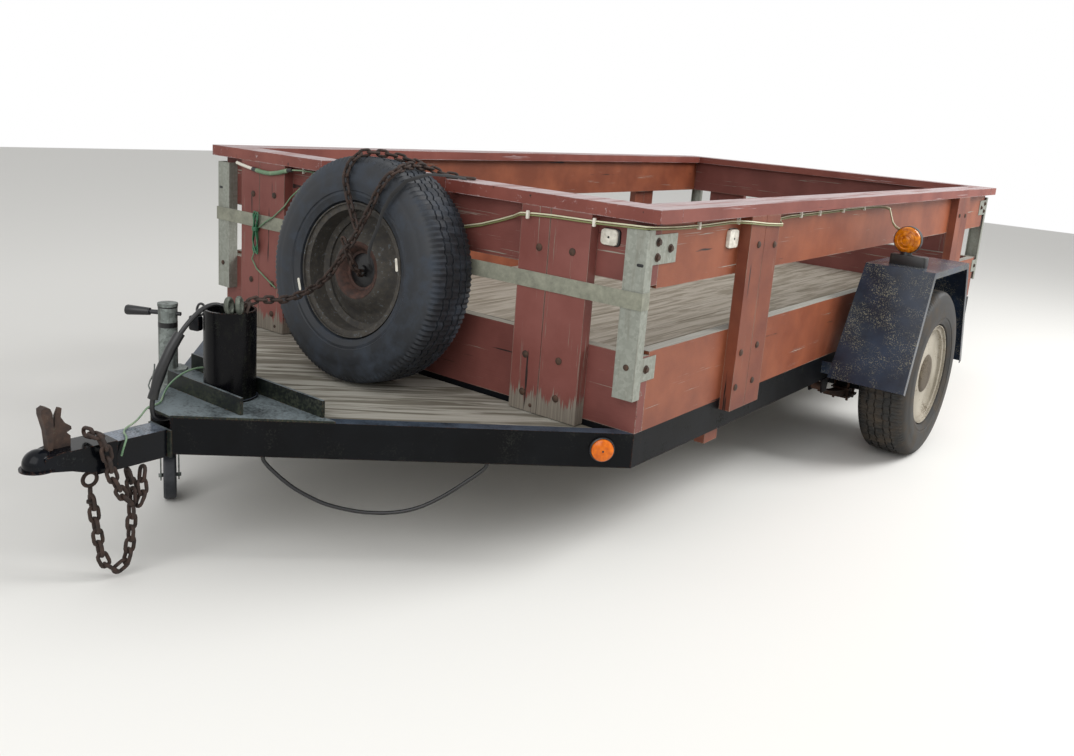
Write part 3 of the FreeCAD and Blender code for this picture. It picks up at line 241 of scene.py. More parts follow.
def rusted(name, deep, bright, steel, bare=0.3, grit=3.0):
    """Mill steel left bare: brown scale with orange bloom, and dull metal where it is rubbed."""
    material, add, place = surface(name)
    bloom = add("TexNoise", {"Vector": place, "Scale": 1 / (22 * MM), "Detail": 6.0, "Roughness": 0.7})
    scale = add("TexNoise", {"Vector": place, "Scale": 1 / (grit * MM), "Detail": 4.0, "Roughness": 0.7})
    shade = add("MapRange", {"Value": bloom, "From Min": 0.38, "From Max": 0.62})
    brown = add("Mix", {0: shade, 6: linear(deep), 7: linear(bright)}, 2, data_type="RGBA")
    rubbed = add("MapRange", {"Value": add("Math", {0: bloom, 1: scale}, operation="MULTIPLY"),
                              "From Min": 0.42 - 0.2 * bare, "From Max": 0.47 - 0.2 * bare})
    colour = add("Mix", {0: rubbed, 6: brown, 7: linear(steel)}, 2, data_type="RGBA")
    metal = add("MapRange", {"Value": rubbed, "To Max": 0.55})
    relief = add("Bump", {"Height": scale, "Strength": 0.5, "Distance": 0.5 * MM})
    shader = add("BsdfPrincipled", {"Base Color": colour, "Roughness": 0.78, "Metallic": metal,
                                    "Normal": relief})
    add("OutputMaterial", {"Surface": shader})
    return material


def zinc_coat(name, pale, dark, dirt, soiled=0.85):
    """Hot-dip galvanising: dull grey crystals a few millimetres wide, with brown runs of dirt."""
    material, add, place = surface(name)
    spangle = add("TexVoronoi", {"Vector": place, "Scale": 1 / (9 * MM)}, "Color")
    shade = add("SeparateColor", {"Color": spangle})
    metal = add("Mix", {0: shade, 6: linear(dark), 7: linear(pale)}, 2, data_type="RGBA")
    runs = add("TexNoise", {"Vector": add("Mapping", {"Vector": place, "Scale": (70.0, 70.0, 7.0)}),
                            "Scale": 1.0, "Detail": 4.0, "Roughness": 0.6})
    dirty = add("MapRange", {"Value": runs, "From Min": 0.50, "From Max": 0.72, "To Max": soiled})
    colour = add("Mix", {0: dirty, 6: metal, 7: linear(dirt)}, 2, data_type="RGBA")
    bare = add("MapRange", {"Value": dirty, "To Min": 0.55, "To Max": 0.1})
    relief = add("Bump", {"Height": runs, "Strength": 0.15, "Distance": 0.4 * MM})
    shader = add("BsdfPrincipled", {"Base Color": colour, "Roughness": 0.58, "Metallic": bare,
                                    "Normal": relief})
    add("OutputMaterial", {"Surface": shader})
    return material


def aged_rubber(name, black, dust, dusty=0.4, rough=0.72):
    """Moulded rubber: matt black, brown road dust in its hollows and fine pitting."""
    material, add, place = surface(name)
    cloud = add("TexNoise", {"Vector": place, "Scale": 1 / (70 * MM), "Detail": 6.0, "Roughness": 0.65})
    pits = add("TexNoise", {"Vector": place, "Scale": 1 / (2 * MM), "Detail": 2.0})
    dusted = add("MapRange", {"Value": cloud, "From Min": 0.62 - 0.3 * dusty,
                              "From Max": 0.80 - 0.2 * dusty, "To Max": 0.75})
    colour = add("Mix", {0: dusted, 6: linear(black), 7: linear(dust)}, 2, data_type="RGBA")
    dull = add("MapRange", {"Value": dusted, "To Min": rough - 0.12, "To Max": 0.9})
    relief = add("Bump", {"Height": pits, "Strength": 0.2, "Distance": 0.3 * MM})
    shader = add("BsdfPrincipled", {"Base Color": colour, "Roughness": dull, "Normal": relief,
                                    "IOR": 1.52})
    add("OutputMaterial", {"Surface": shader})
    return material


def moulded_lens(name, bright, deep, ribs=4.0):
    """Clear coloured acrylic over a reflector: glossy, with moulded ribs and a darker depth."""
    material, add, place = surface(name)
    wave = add("TexWave", {"Vector": place, "Scale": 1 / (ribs * 6.3 * MM), "Distortion": 0.0}, "Fac",
               bands_direction="X")
    depth = add("TexNoise", {"Vector": place, "Scale": 1 / (14 * MM), "Detail": 3.0})
    shade = add("MapRange", {"Value": depth, "From Min": 0.3, "From Max": 0.7})
    colour = add("Mix", {0: shade, 6: linear(deep), 7: linear(bright)}, 2, data_type="RGBA")
    relief = add("Bump", {"Height": wave, "Strength": 0.3, "Distance": 0.6 * MM})
    shader = add("BsdfPrincipled", {"Base Color": colour, "Roughness": 0.2, "Normal": relief, "IOR": 1.49,
                                    "Specular IOR Level": 0.3, "Coat Weight": 0.15,
                                    "Coat Roughness": 0.1})
    add("OutputMaterial", {"Surface": shader})
    return material


def woven_band(name, pale, dark, pitch=1.6):
    """Polyester webbing: fine diagonal weave, greyed and greened by weather."""
    material, add, place = surface(name)
    weave = add("TexWave", {"Vector": place, "Scale": 1 / (pitch * 6.3 * MM), "Distortion": 0.3}, "Fac",
                bands_direction="DIAGONAL")
    cloud = add("TexNoise", {"Vector": place, "Scale": 1 / (40 * MM), "Detail": 5.0, "Roughness": 0.7})
    shade = add("MapRange", {"Value": cloud, "From Min": 0.35, "From Max": 0.65})
    colour = add("Mix", {0: shade, 6: linear(dark), 7: linear(pale)}, 2, data_type="RGBA")
    relief = add("Bump", {"Height": weave, "Strength": 0.4, "Distance": 0.4 * MM})
    shader = add("BsdfPrincipled", {"Base Color": colour, "Roughness": 0.88, "Normal": relief,
                                    "Sheen Weight": 0.15})
    add("OutputMaterial", {"Surface": shader})
    return material


# Each finish, named for what the real one is and for the light painted into some of them
# The chassis, tongue rails, tongue tube and mossy plate carry a level colour: painted sky reflection with
# settled dust on their top faces
chassis_black = painted_steel("chassis_enamel_black", "#08090b", "#101216", "#22231f", grimy=0.22,
                              grit=6.0, level_sheen_and_dust="#3f4853", gloss=0.10)
tongue_black = painted_steel("tongue_rail_enamel_black", "#08090b", "#0e1013", "#262724", grimy=0.20,
                             grit=5.0, level_sheen_and_dust="#4a5563", gloss=0.11)
tube_gloss = painted_steel("tongue_tube_enamel", "#08090c", "#0e1116", "#202324", grimy=0.12, grit=6.0,
                           shine=0.2, level_sheen_and_dust="#7b8490", gloss=0.2)
mossy_plate = painted_steel("mossy_plate_enamel", "#101315", "#1b1f20", "#383c33", grimy=0.55, grit=8.0,
                            shine=0.5, level_sheen_and_dust="#727c80", climb=("#3a4231", 0.47, 0.56), gloss=0.2)
pipe_black = painted_steel("pipe_enamel_black", "#060608", "#0b0b0e", "#20231e", grimy=0.10, grit=5.0,
                           shine=0.26, streaks="#1e2019", climb=("#3c4530", 0.44, 0.54), gloss=0.12)
coupler_gloss = painted_steel("pressed_coupler_gloss", "#07080b", "#0c0f15", "#2c302e", grimy=0.08,
                              grit=7.0, shine=0.18, gloss=0.16)
# The fender's coat colours are black enamel tinted blue as a painted sky reflection; its flecks are dried
# mud
fender_enamel_sky_tinted = painted_steel("fender_black_enamel_painted_sky_blue", "#18202d", "#2b384b", "#8b8874", grimy=0.0,
                              grit=2.4, shine=0.24, chipped=0.2, gloss=0.35, flecked="#868370")
chalky_white = painted_steel("chalky_wheel_enamel", "#aaa395", "#8f887a", "#5f5546", grimy=0.40, grit=7.0,
                             shine=0.6)
tan_hub = painted_steel("tan_hub_enamel", "#5e5444", "#493f33", "#33291d", grimy=0.45, grit=6.0,
                        shine=0.6)
rusty_spring = rusted("rusted_spring_steel", "#2c1f18", "#4e3222", "#5d574f")
rusty_latch = rusted("rusted_latch_steel", "#271c17", "#412f25", "#5f6154", bare=0.4)
rusty_wheel = rusted("rusted_spare_wheel", "#343230", "#454038", "#6a7076", bare=0.48, grit=7.0)
rusty_boss = rusted("rusted_spare_boss", "#2c1e19", "#4c3229", "#5a5048", bare=0.25)
rusty_bolt = rusted("rusted_bolt_heads", "#2b2019", "#4a3325", "#54524b", bare=0.2)
rusty_chain = rusted("rusted_chain_steel", "#1e1511", "#38261d", "#645c52", bare=0.28, grit=2.5)
aged_zinc = zinc_coat("aged_galvanised_steel", "#8d9490", "#6a706d", "#35332b")
ring_zinc = zinc_coat("dark_galvanised_ring_steel", "#666b61", "#4b5049", "#2f2e28")
dull_zinc = zinc_coat("dull_galvanised_steel", "#9a9d94", "#8b8e85", "#6c675a", 0.5)
# One barn red in two copies: lighter and more orange on the side boards and side posts as painted
# sunlight, darker on the head boards, head posts and gate as painted shade
head_paint_shaded = {
    axis: weathered_board("barn_paint_shaded_on_head_" + axis, grain, "#673731", "#78443d", "#8a857a", 0.24, 1.6)
    for grain, axis in ((0, "x"), (2, "z"))}
head_post_paint_shaded = weathered_board("barn_paint_shaded_on_head_posts", 2, "#6f3b34", "#7e4a43", "#7f776c", 0.22,
                                  foot=(0.42, 0.50))
side_paint_sunlit = weathered_board("barn_paint_sunlit_on_side_boards", 1, "#723a25", "#8b4d32", "#94928a", 0.06, 1.8,
                             sheen=0.48)
side_post_paint_sunlit = weathered_board("barn_paint_sunlit_on_side_posts", 2, "#683425", "#80462f", "#8d7f70", 0.10,
                                  sheen=0.5)
cap_paints = {
    axis: weathered_board("barn_paint_on_cap_" + axis, grain, "#6f372e", "#83483d", "#b0a1a1", 0.14, 1.15,
                          sheen=0.5)
    for grain, axis in enumerate("xy")}
deck_along = bare_plank("silvered_deck_plank_y", 1, "#a19a8e", "#8b8377", "#787062")
deck_raked = bare_plank("silvered_deck_plank_raked", 0, "#b7b4aa", "#9a968b", "#716c60", RAIL_TURN)
road_tyre = aged_rubber("dusty_tyre_rubber", "#141311", "#463b2e", 0.55)
spare_tyre_rubber = aged_rubber("aged_spare_rubber", "#161a20", "#343c47", 0.52)
amber_lens = moulded_lens("amber_acrylic_lens", "#df860c", "#9a4a04")
marker_lens = moulded_lens("marker_acrylic_lens", "#e27200", "#bd5500")
red_lens = moulded_lens("red_acrylic_lens", "#a81c17", "#650b0b")
clear_reflector = moulded_lens("clear_acrylic_reflector", "#e6e2d6", "#bdb9ad", 2.5)
soft_black = aged_rubber("black_pvc", "#101012", "#34352f", 0.2, 0.5)
grip_rubber = aged_rubber("black_grip_rubber", "#15161b", "#33343a", 0.2, 0.6)
cream_wire = aged_rubber("cream_wire_insulation", "#cbc9ac", "#a3a184", 0.3, 0.5)
olive_wire = aged_rubber("olive_wire_insulation", "#7b7f52", "#5d6142", 0.3, 0.5)
green_pvc = aged_rubber("green_pvc_insulation", "#5f7f5f", "#a9b59a", 0.45, 0.5)
green_wire = aged_rubber("green_wire_insulation", "#2f6b4a", "#6f8a6e", 0.3, 0.5)
caster_rubber = aged_rubber("hard_caster_rubber", "#1d2127", "#44464a", 0.4, 0.6)
grey_webbing = woven_band("greyed_webbing", "#8f9080", "#727366")
black_webbing = woven_band("black_strap", "#19191a", "#0e0e0f")
white_nylon = aged_rubber("white_nylon", "#d8d4c8", "#a39e90", 0.3, 0.5)

FINISHES = [
    (chassis_black, "side_rails end_rails crossmembers axle"), (tongue_black, "tongue_rails"),
    (tube_gloss, "tongue_tube"), (mossy_plate, "apex_plate"), (pipe_black, "socket_post"),
    (coupler_gloss, "coupler"), (rusty_latch, "coupler_latch"), (chalky_white, "rim_left rim_right"),
    (tan_hub, "hub_left hub_right"), (rusty_wheel, "rim_spare"), (dull_zinc, "corner_irons"),
    (rusty_spring, "leaf_springs spring_plates"), (aged_zinc, "jack_tube jack_leg caster_fork"),
    (grey_webbing, "head_strap"), (side_paint_sunlit, "side_boards"), (side_post_paint_sunlit, "side_posts"),
    (head_paint_shaded["x"], "head_boards gate_boards"), (head_post_paint_shaded, "head_posts"),
    (head_paint_shaded["z"], "gate_posts"), (cap_paints["y"], "top_caps"), (cap_paints["x"], "gate_cap"),
    (deck_along, "floor_planks"), (deck_raked, "tongue_planks"), (red_lens, "tail_lamps"),
    (grip_rubber, "jack_crank"), (caster_rubber, "caster_wheel"),
]
for finish, names in FINISHES:
    for name in names.split():
        nodes[name].data.materials.clear()
        nodes[name].data.materials.append(finish)

# Sawn edges of the timber, eased by handling and weather
TIMBER = ("side_boards head_boards gate_boards side_posts head_posts gate_posts top_caps gate_cap "
          "floor_planks tongue_planks")
for name in TIMBER.split():
    eased = nodes[name].modifiers.new("eased_edges", "BEVEL")
    eased.width = 2.2 * MM
    eased.segments = 2
    eased.limit_method = "ANGLE"
    eased.angle_limit = math.radians(50)


def placed(name, data):
    made = bpy.data.objects.new(name, data)
    bpy.context.scene.collection.objects.link(made)
    return made


def settle(mesh, name, finish, body="trailer", smooth=35):
    """Makes a piece of a bmesh, with soft faces between its sharp edges, on the body it moves with."""
    data = bpy.data.meshes.new(name)
    mesh.to_mesh(data)
    mesh.free()
    for face in data.polygons:
        face.use_smooth = True
    data.set_sharp_from_angle(angle=math.radians(smooth))
    data.materials.append(finish)
    piece = placed(name, data)
    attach(piece, body)
    return piece


def square_to(axis):
    """Two unit directions square to an axis and to each other."""
    first = (UP if abs(axis.z) < 0.9 else ACROSS).cross(axis).normalized()
    return first, axis.cross(first).normalized()


def skin(mesh, rings, closed=False):
    """Faces between rings that have as many points each."""
    for low, high in list(zip(rings, rings[1:])) + ([(rings[-1], rings[0])] if closed else []):
        for n in range(len(low)):
            on = (n + 1) % len(low)
            mesh.faces.new((low[n], low[on], high[on], high[n]))


def sweep(mesh, points, radius, sides=8, closed=False, wide=1.0, faces_out=None):
    """A round bar bent along a line of points.

    A wide one is a flat band, whose face looks the given way at each point.
    """
    count = len(points)
    rings, first = [], None
    for number, point in enumerate(points):
        before = points[number - 1] if closed or number else point
        after = points[(number + 1) % count] if closed or number < count - 1 else point
        along = (after - before).normalized()
        if faces_out:
            first = faces_out[number].cross(along).normalized()
            second = along.cross(first)
        elif first is None:
            first, second = square_to(along)
        else:
            first = (first - along * first.dot(along)).normalized()
            second = along.cross(first)
        ring = [mesh.verts.new(point + (first * math.cos(a) * wide + second * math.sin(a)) * radius)
                for a in (math.tau * n / sides for n in range(sides))]
        rings.append(ring)
    skin(mesh, rings, closed)
    if not closed:
        mesh.faces.new(list(reversed(rings[0])))
        mesh.faces.new(rings[-1])


def spun(mesh, outline, centre, axis, sides=24):
    """A turned shape from (along, radius) corners; a radius of nothing closes its end."""
    first, second = square_to(axis)
    rings = []
    for along, radius in outline:
        middle = centre + axis * along
        if radius == 0:
            rings.append([mesh.verts.new(middle)])
        else:
            rings.append([mesh.verts.new(middle + (first * math.cos(a) + second * math.sin(a)) * radius)
                          for a in (math.tau * n / sides for n in range(sides))])
    for low, high in zip(rings, rings[1:]):
        for n in range(sides):
            corners = [low[n % len(low)], low[(n + 1) % len(low)], high[(n + 1) % len(high)],
                       high[n % len(high)]]
            mesh.faces.new(list(dict.fromkeys(corners)))
    bmesh.ops.recalc_face_normals(mesh, faces=mesh.faces)


# Cords: half thickness and route, in millimetres
TRAILER_CABLE = (6.5, [(14, -1880, 570), (12, -1880, 620), (9, -1890, 668), (7, -1922, 699),
                       (5, -1964, 697), (2, -2003, 668), (-1, -2036, 630), (-4, -2064, 588),
                       (-9, -2086, 540), (-15, -2100, 494), (-17, -2109, 452), (-14, -2112, 426),
                       (-10, -2107, 406), (-7, -2090, 400), (-5, -2062, 400)])
FRAME_CABLE = (5.5, [(200, -1922, 318), (200, -1922, 303), (210, -1912, 284), (223, -1899, 265),
                     (240, -1882, 242), (262, -1861, 218), (291, -1832, 194), (321, -1804, 175),
                     (356, -1770, 162), (393, -1734, 153), (429, -1699, 151), (459, -1670, 154),
                     (488, -1642, 162), (518, -1613, 177), (557, -1575, 209), (591, -1543, 244),
                     (621, -1514, 276), (639, -1496, 300), (639, -1496, 318)])
FLAT_WIRE = (2.6, [(-50, -1822, 462), (-70, -1846, 478), (-88, -1878, 489), (-99, -1916, 493),
                   (-107, -1952, 487), (-121, -1980, 465), (-126, -2000, 443), (-112, -2018, 431),
                   (-84, -2040, 429.5), (-56, -2062, 429.5), (-43, -2084, 430), (-40, -2109, 430),
                   (-41, -2125, 411), (-42, -2142, 395), (-36, -2166, 389), (-20, -2186, 388.5),
                   (4, -2200, 388.5), (28, -2208, 391), (45, -2216, 388), (50, -2227, 370),
                   (49, -2233, 348)])


def cord_curve(name, half, route, finish):
    """A round cord on one smooth curve through its route."""
    curve = bpy.data.curves.new(name, "CURVE")
    curve.dimensions = "3D"
    curve.bevel_depth = half * MM
    curve.bevel_resolution = 4
    curve.use_fill_caps = True
    curve.resolution_u = 12
    spline = curve.splines.new("NURBS")
    spline.points.add(len(route) - 1)
    for point, place in zip(spline.points, route):
        point.co = (*(value * MM for value in place), 1.0)
    spline.order_u = 3
    spline.use_endpoint_u = True
    curve.materials.append(finish)
    piece = placed(name, curve)
    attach(piece, "trailer")
    return piece


def first_point(route):
    return Vector(route[0]) * MM


cable = cord_curve("trailer_cable_sheath", *TRAILER_CABLE, soft_black)
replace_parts(cable, "trailer_cable")
first_point(TRAILER_CABLE[1])
lead = cord_curve("frame_cable_sheath", *FRAME_CABLE, soft_black)
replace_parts(lead, "frame_cable")
first_point(FRAME_CABLE[1])
ribbon = cord_curve("ribbon_wire_pair", *FLAT_WIRE, green_pvc)
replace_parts(ribbon, "flat_wire")
first_point(FLAT_WIRE[1])

# Tyres: a radial with five ribs, four zigzag grooves and open shoulders
GROOVE_DEPTH = 0.007
STEPS = 252


def tyre_outline():
    """(across, radius, kind) from one bead to the other: s side wall, t tread, g groove, k shoulder."""
    half = TYRE_WIDTH / 2
    wall = [(0.071, 0.191, "s"), (0.071, 0.209, "s"), (half - 0.0125, 0.2135, "s"),
            (half - 0.004, 0.232, "s"), (half - 0.0045, 0.240, "s"), (half - 0.0012, 0.243, "s"),
            (half, 0.262, "s"), (half - 0.0006, 0.286, "s"), (half - 0.0018, 0.289, "s"),
            (half - 0.0038, 0.302, "s"), (half - 0.0075, 0.318, "s"), (half - 0.0125, 0.330, "k"),
            (half - 0.0205, 0.3405, "k"), (half - 0.030, 0.3465, "k")]
    ribs = [(0.062, 0.3482, "k"), (0.0485, 0.3492, "t"), (0.0475, 0.3492 - GROOVE_DEPTH, "g"),
            (0.0425, 0.3493 - GROOVE_DEPTH, "g"), (0.0415, 0.3493, "t"), (0.0205, 0.3498, "t"),
            (0.0195, 0.3498 - GROOVE_DEPTH, "g"), (0.0145, 0.350 - GROOVE_DEPTH, "g"),
            (0.0135, 0.350, "t")]
    left = wall + ribs
    return left + [(-across, radius, kind) for across, radius, kind in reversed(left)]


def treaded_tyre(name, centre, axis, body, finish):
    mesh = bmesh.new()
    first, second = square_to(axis)
    outline = tyre_outline()
    rings = []
    for step in range(STEPS):
        angle = math.tau * step / STEPS
        spoke = first * math.cos(angle) + second * math.sin(angle)
        zig = 0.0016 if step % 6 < 3 else -0.0016
        ring = []
        for across, radius, kind in outline:
            if kind in "gt" and abs(across) > 0.01:
                across += zig
            if kind == "k" and step % 2 == 0:
                radius -= 0.0055
            if kind == "t" and step % 4 == (0 if across > 0 else 2):
                radius -= 0.0045
            ring.append(mesh.verts.new(centre + axis * across + spoke * radius))
        rings.append(ring)
    for number, ring in enumerate(rings):
        on = rings[(number + 1) % STEPS]
        for n in range(len(outline) - 1):
            mesh.faces.new((ring[n], ring[n + 1], on[n + 1], on[n]))
    bmesh.ops.recalc_face_normals(mesh, faces=mesh.faces)
    piece = settle(mesh, "tyre_tread_" + name, finish, body, 25)
    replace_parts(piece, "tyre_" + name)
    return piece


for name, (centre, axis, body) in WHEELS.items():
    treaded_tyre(name, centre, axis, body, spare_tyre_rubber if name == "spare" else road_tyre)


def turned(name, outline, wheel, finish, sides=72):
    """A piece turned about a wheel's own axis."""
    centre, axis, body = WHEELS[wheel]
    mesh = bmesh.new()
    spun(mesh, outline, centre, axis, sides)
    settle(mesh, name, finish, body)


# Road wheels: a smooth chalky disc nearly flush with the rim's lip, and a brown cap in its middle
WHEEL_DISC = [(0.060, 0.076), (0.066, 0.080), (0.066, 0.095), (0.060, 0.150), (0.063, 0.180),
              (0.067, 0.1875), (0.062, 0.1875), (0.055, 0.150), (0.060, 0.095), (0.060, 0.076)]
WHEEL_CAP = [(0.060, 0.0785), (0.067, 0.0785), (0.071, 0.074), (0.0735, 0.060), (0.075, 0.034),
             (0.075, 0.012), (0.0755, 0)]
for name in ("left", "right"):
    turned("wheel_disc_" + name, WHEEL_DISC, name, chalky_white)
    turned("wheel_cap_" + name, WHEEL_CAP, name, tan_hub, 48)

# Spare's wheel: raised disc, rusted boss ring, and a black floor closing the well where the chain goes
# in, a painted shade for its dark inside
SPARE_DISC = [(-0.006, 0), (-0.006, 0.1865), (0.006, 0.1865), (0.001, 0.172), (0.003, 0.154),
              (0.020, 0.128), (0.046, 0.108), (0.056, 0.098), (0.060, 0.089), (0.058, 0.080),
              (0.026, 0.058), (0.026, 0)]
SPARE_BOSS = [(0.057, 0.0905), (0.0617, 0.088), (0.0607, 0.080), (0.054, 0.071), (0.033, 0.061),
              (0.031, 0.053), (0.025, 0.053)]
SPARE_WELL_SHADE = [(0.0262, 0.056), (0.0275, 0.054), (0.0275, 0.016), (0.036, 0.013), (0.0365, 0)]
turned("spare_disc_face", SPARE_DISC, "spare", rusty_wheel)
turned("spare_boss_ring", SPARE_BOSS, "spare", rusty_boss)
turned("spare_well_shade_floor", SPARE_WELL_SHADE, "spare", soft_black, 40)

# Chains of round bar: pitch, bar radius and half width of a link
SAFETY_LINK = (0.032, 0.0051, 0.0112)
SPARE_LINK = (0.027, 0.0042, 0.0086)
# Safety chain, from the latch round the coupler's side, down and up again to the eye below the tongue
SAFETY_STRANDS = [
    [(2, -2288, 240), (5, -2279, 140), (9, -2272, 74), (15, -2256, 30), (22, -2236, 22), (30, -2212, 48),
     (35, -2206, 110), (40, -2205, 160), (45, -2208, 205)],
    [(47, -2212, 214), (54, -2233, 240), (60, -2256, 280), (62, -2272, 330), (66, -2280, 378),
     (54, -2287, 410), (24, -2291, 414), (-12, -2293, 410)],
    [(44, -2203, 216), (40, -2200, 245), (34, -2203, 270), (28, -2206, 294)],
    [(50, -2192, 204), (52, -2176, 222), (47, -2182, 250), (40, -2174, 278), (36, -2169, 298)],
]
# The spare's chain: pipe rim to hub, hub up to the cap's cut end, and over the tread and down behind
SPARE_STRANDS = [
    [(45, -1884, 690), (56, -1850, 712), (56, -1800, 706), (53, -1745, 698), (45, -1678, 706),
     (25, -1600, 722), (4, -1541, 745), (43, -1527, 807), (82, -1519, 864), (112, -1512, 920),
     (135, -1508, 959), (160, -1502, 1016), (182, -1496, 1050), (204, -1476, 1080), (204, -1450, 1087),
     (188, -1413, 1093), (180, -1364, 1091), (182, -1315, 1086), (205, -1275, 1068), (240, -1240, 1063),
     (275, -1215, 1062)],
    [(90, -1516, 899), (67, -1513, 939), (43, -1510, 985), (25, -1506, 1022), (18, -1502, 1054),
     (26, -1490, 1088), (40, -1468, 1114), (54, -1438, 1120), (74, -1399, 1118), (94, -1368, 1112),
     (128, -1338, 1102), (170, -1300, 1080)],
    [(48, -1530, 862), (56, -1526, 842), (64, -1518, 806), (66, -1496, 772), (56, -1470, 752),
     (50, -1450, 748)],
    [(60, -1872, 700), (58, -1880, 676), (50, -1890, 640), (42, -1896, 600)],
]


def marks_along(route, pitch):
    """Points a whole number of equal pitches apart along a line of millimetre points."""
    points = [Vector(point) * MM for point in route]
    runs = list(zip(points, points[1:]))
    total = sum((b - a).length for a, b in runs)
    count = max(1, round(total / pitch))
    for number in range(count + 1):
        mark = number * total / count
        for a, b in runs:
            if mark <= (b - a).length + 1e-9:
                break
            mark -= (b - a).length
        yield a + (b - a).normalized() * mark


def chain(name, strands, link, node=None):
    """Round-bar links, each turned a quarter from the last."""
    mesh = bmesh.new()
    pitch, bar, wide = link
    for route in strands:
        ends = list(marks_along(route, pitch))
        for number, (start, end) in enumerate(zip(ends, ends[1:])):
            along = (end - start).normalized()
            flat = along.cross(ACROSS if abs(along.x) < 0.8 else UP).normalized()
            if number % 2:
                flat = flat.cross(along)
            side = flat.cross(along)
            middle, half = (start + end) / 2, pitch / 2 + bar * 0.9 - wide
            loop = []
            for end_sign in (1, -1):
                for step in range(7):
                    turn = math.pi * step / 6
                    loop.append(middle + along * end_sign * (half + wide * math.sin(turn))
                                + side * end_sign * wide * math.cos(turn))
            sweep(mesh, loop, bar, 8, closed=True)
    piece = settle(mesh, name, rusty_chain, smooth=60)
    if node:
        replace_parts(piece, node)
    return piece


chain("safety_chain_links", SAFETY_STRANDS, SAFETY_LINK, "safety_chains")
chain("spare_chain_links", SPARE_STRANDS, SPARE_LINK)


def bent_bars(name, bars, finish, sides=10):
    """Round bars or wires bent along millimetre points: radius, whether a closed ring, and route."""
    mesh = bmesh.new()
    for radius, closed, route in bars:
        sweep(mesh, [Vector(point) * MM for point in route], radius * MM, sides, closed)
    return settle(mesh, name, finish, smooth=60)


def ring_route(centre, radius, normal, stretch=1.0, steps=20):
    """Millimetre points round a ring, drawn out along its upper direction."""
    normal = Vector(normal).normalized()
    side, up = square_to(normal)
    return [Vector(centre) + side * radius * math.cos(a) + up * radius * stretch * math.sin(a)
            for a in (math.tau * n / steps for n in range(steps))]


# Safety chain's eye and bolt below the tongue
bent_bars("chain_eye_and_bolt", [(5, True, ring_route((0, -2290, 286), 18, (1, 0, 0))),
                                 (5.5, False, [(0, -2290, 222), (0, -2290, 264)]),
                                 (10, False, [(0, -2290, 222), (0, -2290, 229)])],
          rusty_chain)

# Two heavy rings hooked over the pipe's right rim, in front of the chain
bent_bars("pipe_rim_rings", [(6.8, True, ring_route((44, -1918, 699), 15, (0.90, 0.43, 0.1), 1.3)),
                             (6.8, True, ring_route((62, -1898, 702), 15, (0.80, 0.60, 0.1), 1.3))],
          ring_zinc)
# Small dark links over the far rim, with a padlock hanging outside
bent_bars("pipe_shackle", [(3.4, True, ring_route((-62, -1934, 672), 10, (0.80, -0.6, 0), 1.6)),
                           (3.4, True, ring_route((-70, -1941, 660), 9, (0.6, 0.8, 0), 1.6))],
          soft_black)


def rounded_block(mesh, middle, out, up, width, height, depth, corner, steps=4):
    """A plate with round corners and eased front edges, standing out from its back face."""
    side = up.cross(out).normalized()
    rings = []
    for inset, stand in ((0, 0), (0, depth - corner * 0.35), (corner * 0.12, depth - corner * 0.1),
                         (corner * 0.4, depth)):
        ring = []
        for x_sign, z_sign in ((1, 1), (-1, 1), (-1, -1), (1, -1)):
            for step in range(steps + 1):
                start = {(1, 1): 0, (-1, 1): 90, (-1, -1): 180, (1, -1): 270}[(x_sign, z_sign)]
                turn = math.radians(start + 90 * step / steps)
                x = x_sign * (width / 2 - corner) + (corner - inset) * math.cos(turn)
                z = z_sign * (height / 2 - corner) + (corner - inset) * math.sin(turn)
                ring.append(mesh.verts.new(middle + side * x + up * z + out * stand))
        rings.append(ring)
    skin(mesh, rings)
    mesh.faces.new(rings[-1])
    mesh.faces.new(list(reversed(rings[0])))
    bmesh.ops.recalc_face_normals(mesh, faces=mesh.faces)


mesh = bmesh.new()
rounded_block(mesh, Vector((-0.068, -1.940, 0.634)), Vector((0.30, -0.954, 0)), UP,
              0.034, 0.042, 0.018, 0.007)
settle(mesh, "padlock_body", coupler_gloss)

# Bolt heads in millimetres: across and up on the end posts, rearward and up on the side posts
POST_BOLTS = [(597, 901), (715, 905), (575, 578), (698, 583), (573, 462), (697, 469), (-738, 900),
              (-616, 907), (-747, 580), (-624, 583), (-747, 466), (-625, 470)]
SIDE_BOLTS = [(-656, 927), (-537, 920), (-573, 588), (-689, 579), (-577, 467), (-699, 464), (1738, 925),
              (1852, 921), (1735, 586), (1850, 580), (1733, 466), (1852, 464)]


def domed_head(mesh, foot, out, radius=0.011):
    spun(mesh, [(0, radius), (radius * 0.18, radius), (radius * 0.42, radius * 0.72), (radius * 0.52, 0)],
         foot, out, 14)


def hexagon_head(mesh, foot, out, radius=0.010):
    spun(mesh, [(0, radius * 1.45), (radius * 0.2, radius * 1.45), (radius * 0.2, 0.001)], foot, out, 18)
    spun(mesh, [(0.001, radius), (radius * 0.85, radius), (radius * 0.95, radius * 0.8),
                (radius * 0.95, 0)], foot, out, 6)


mesh = bmesh.new()
for x, z in POST_BOLTS:
    domed_head(mesh, Vector((x * MM, HEAD_FACE - LUMBER, z * MM)), -REAR)
for sign in (1, -1):
    domed_head(mesh, Vector((sign * 0.606, HEAD_FACE - LUMBER, 0.426)), -REAR, 0.006)
    domed_head(mesh, Vector((sign * 0.926, HEAD_FACE - IRON_STAND, 0.615)), -REAR, 0.009)
    for y, z in SIDE_BOLTS:
        domed_head(mesh, Vector((sign * (SIDE_FACE + LUMBER), y * MM, z * MM)), ACROSS * sign)
settle(mesh, "post_bolt_heads", rusty_bolt)
mesh = bmesh.new()
for x, z in POST_BOLTS:
    domed_head(mesh, Vector((x * MM, GATE_FACE + LUMBER, z * MM)), REAR)
settle(mesh, "gate_bolt_heads", rusty_bolt, "gate")

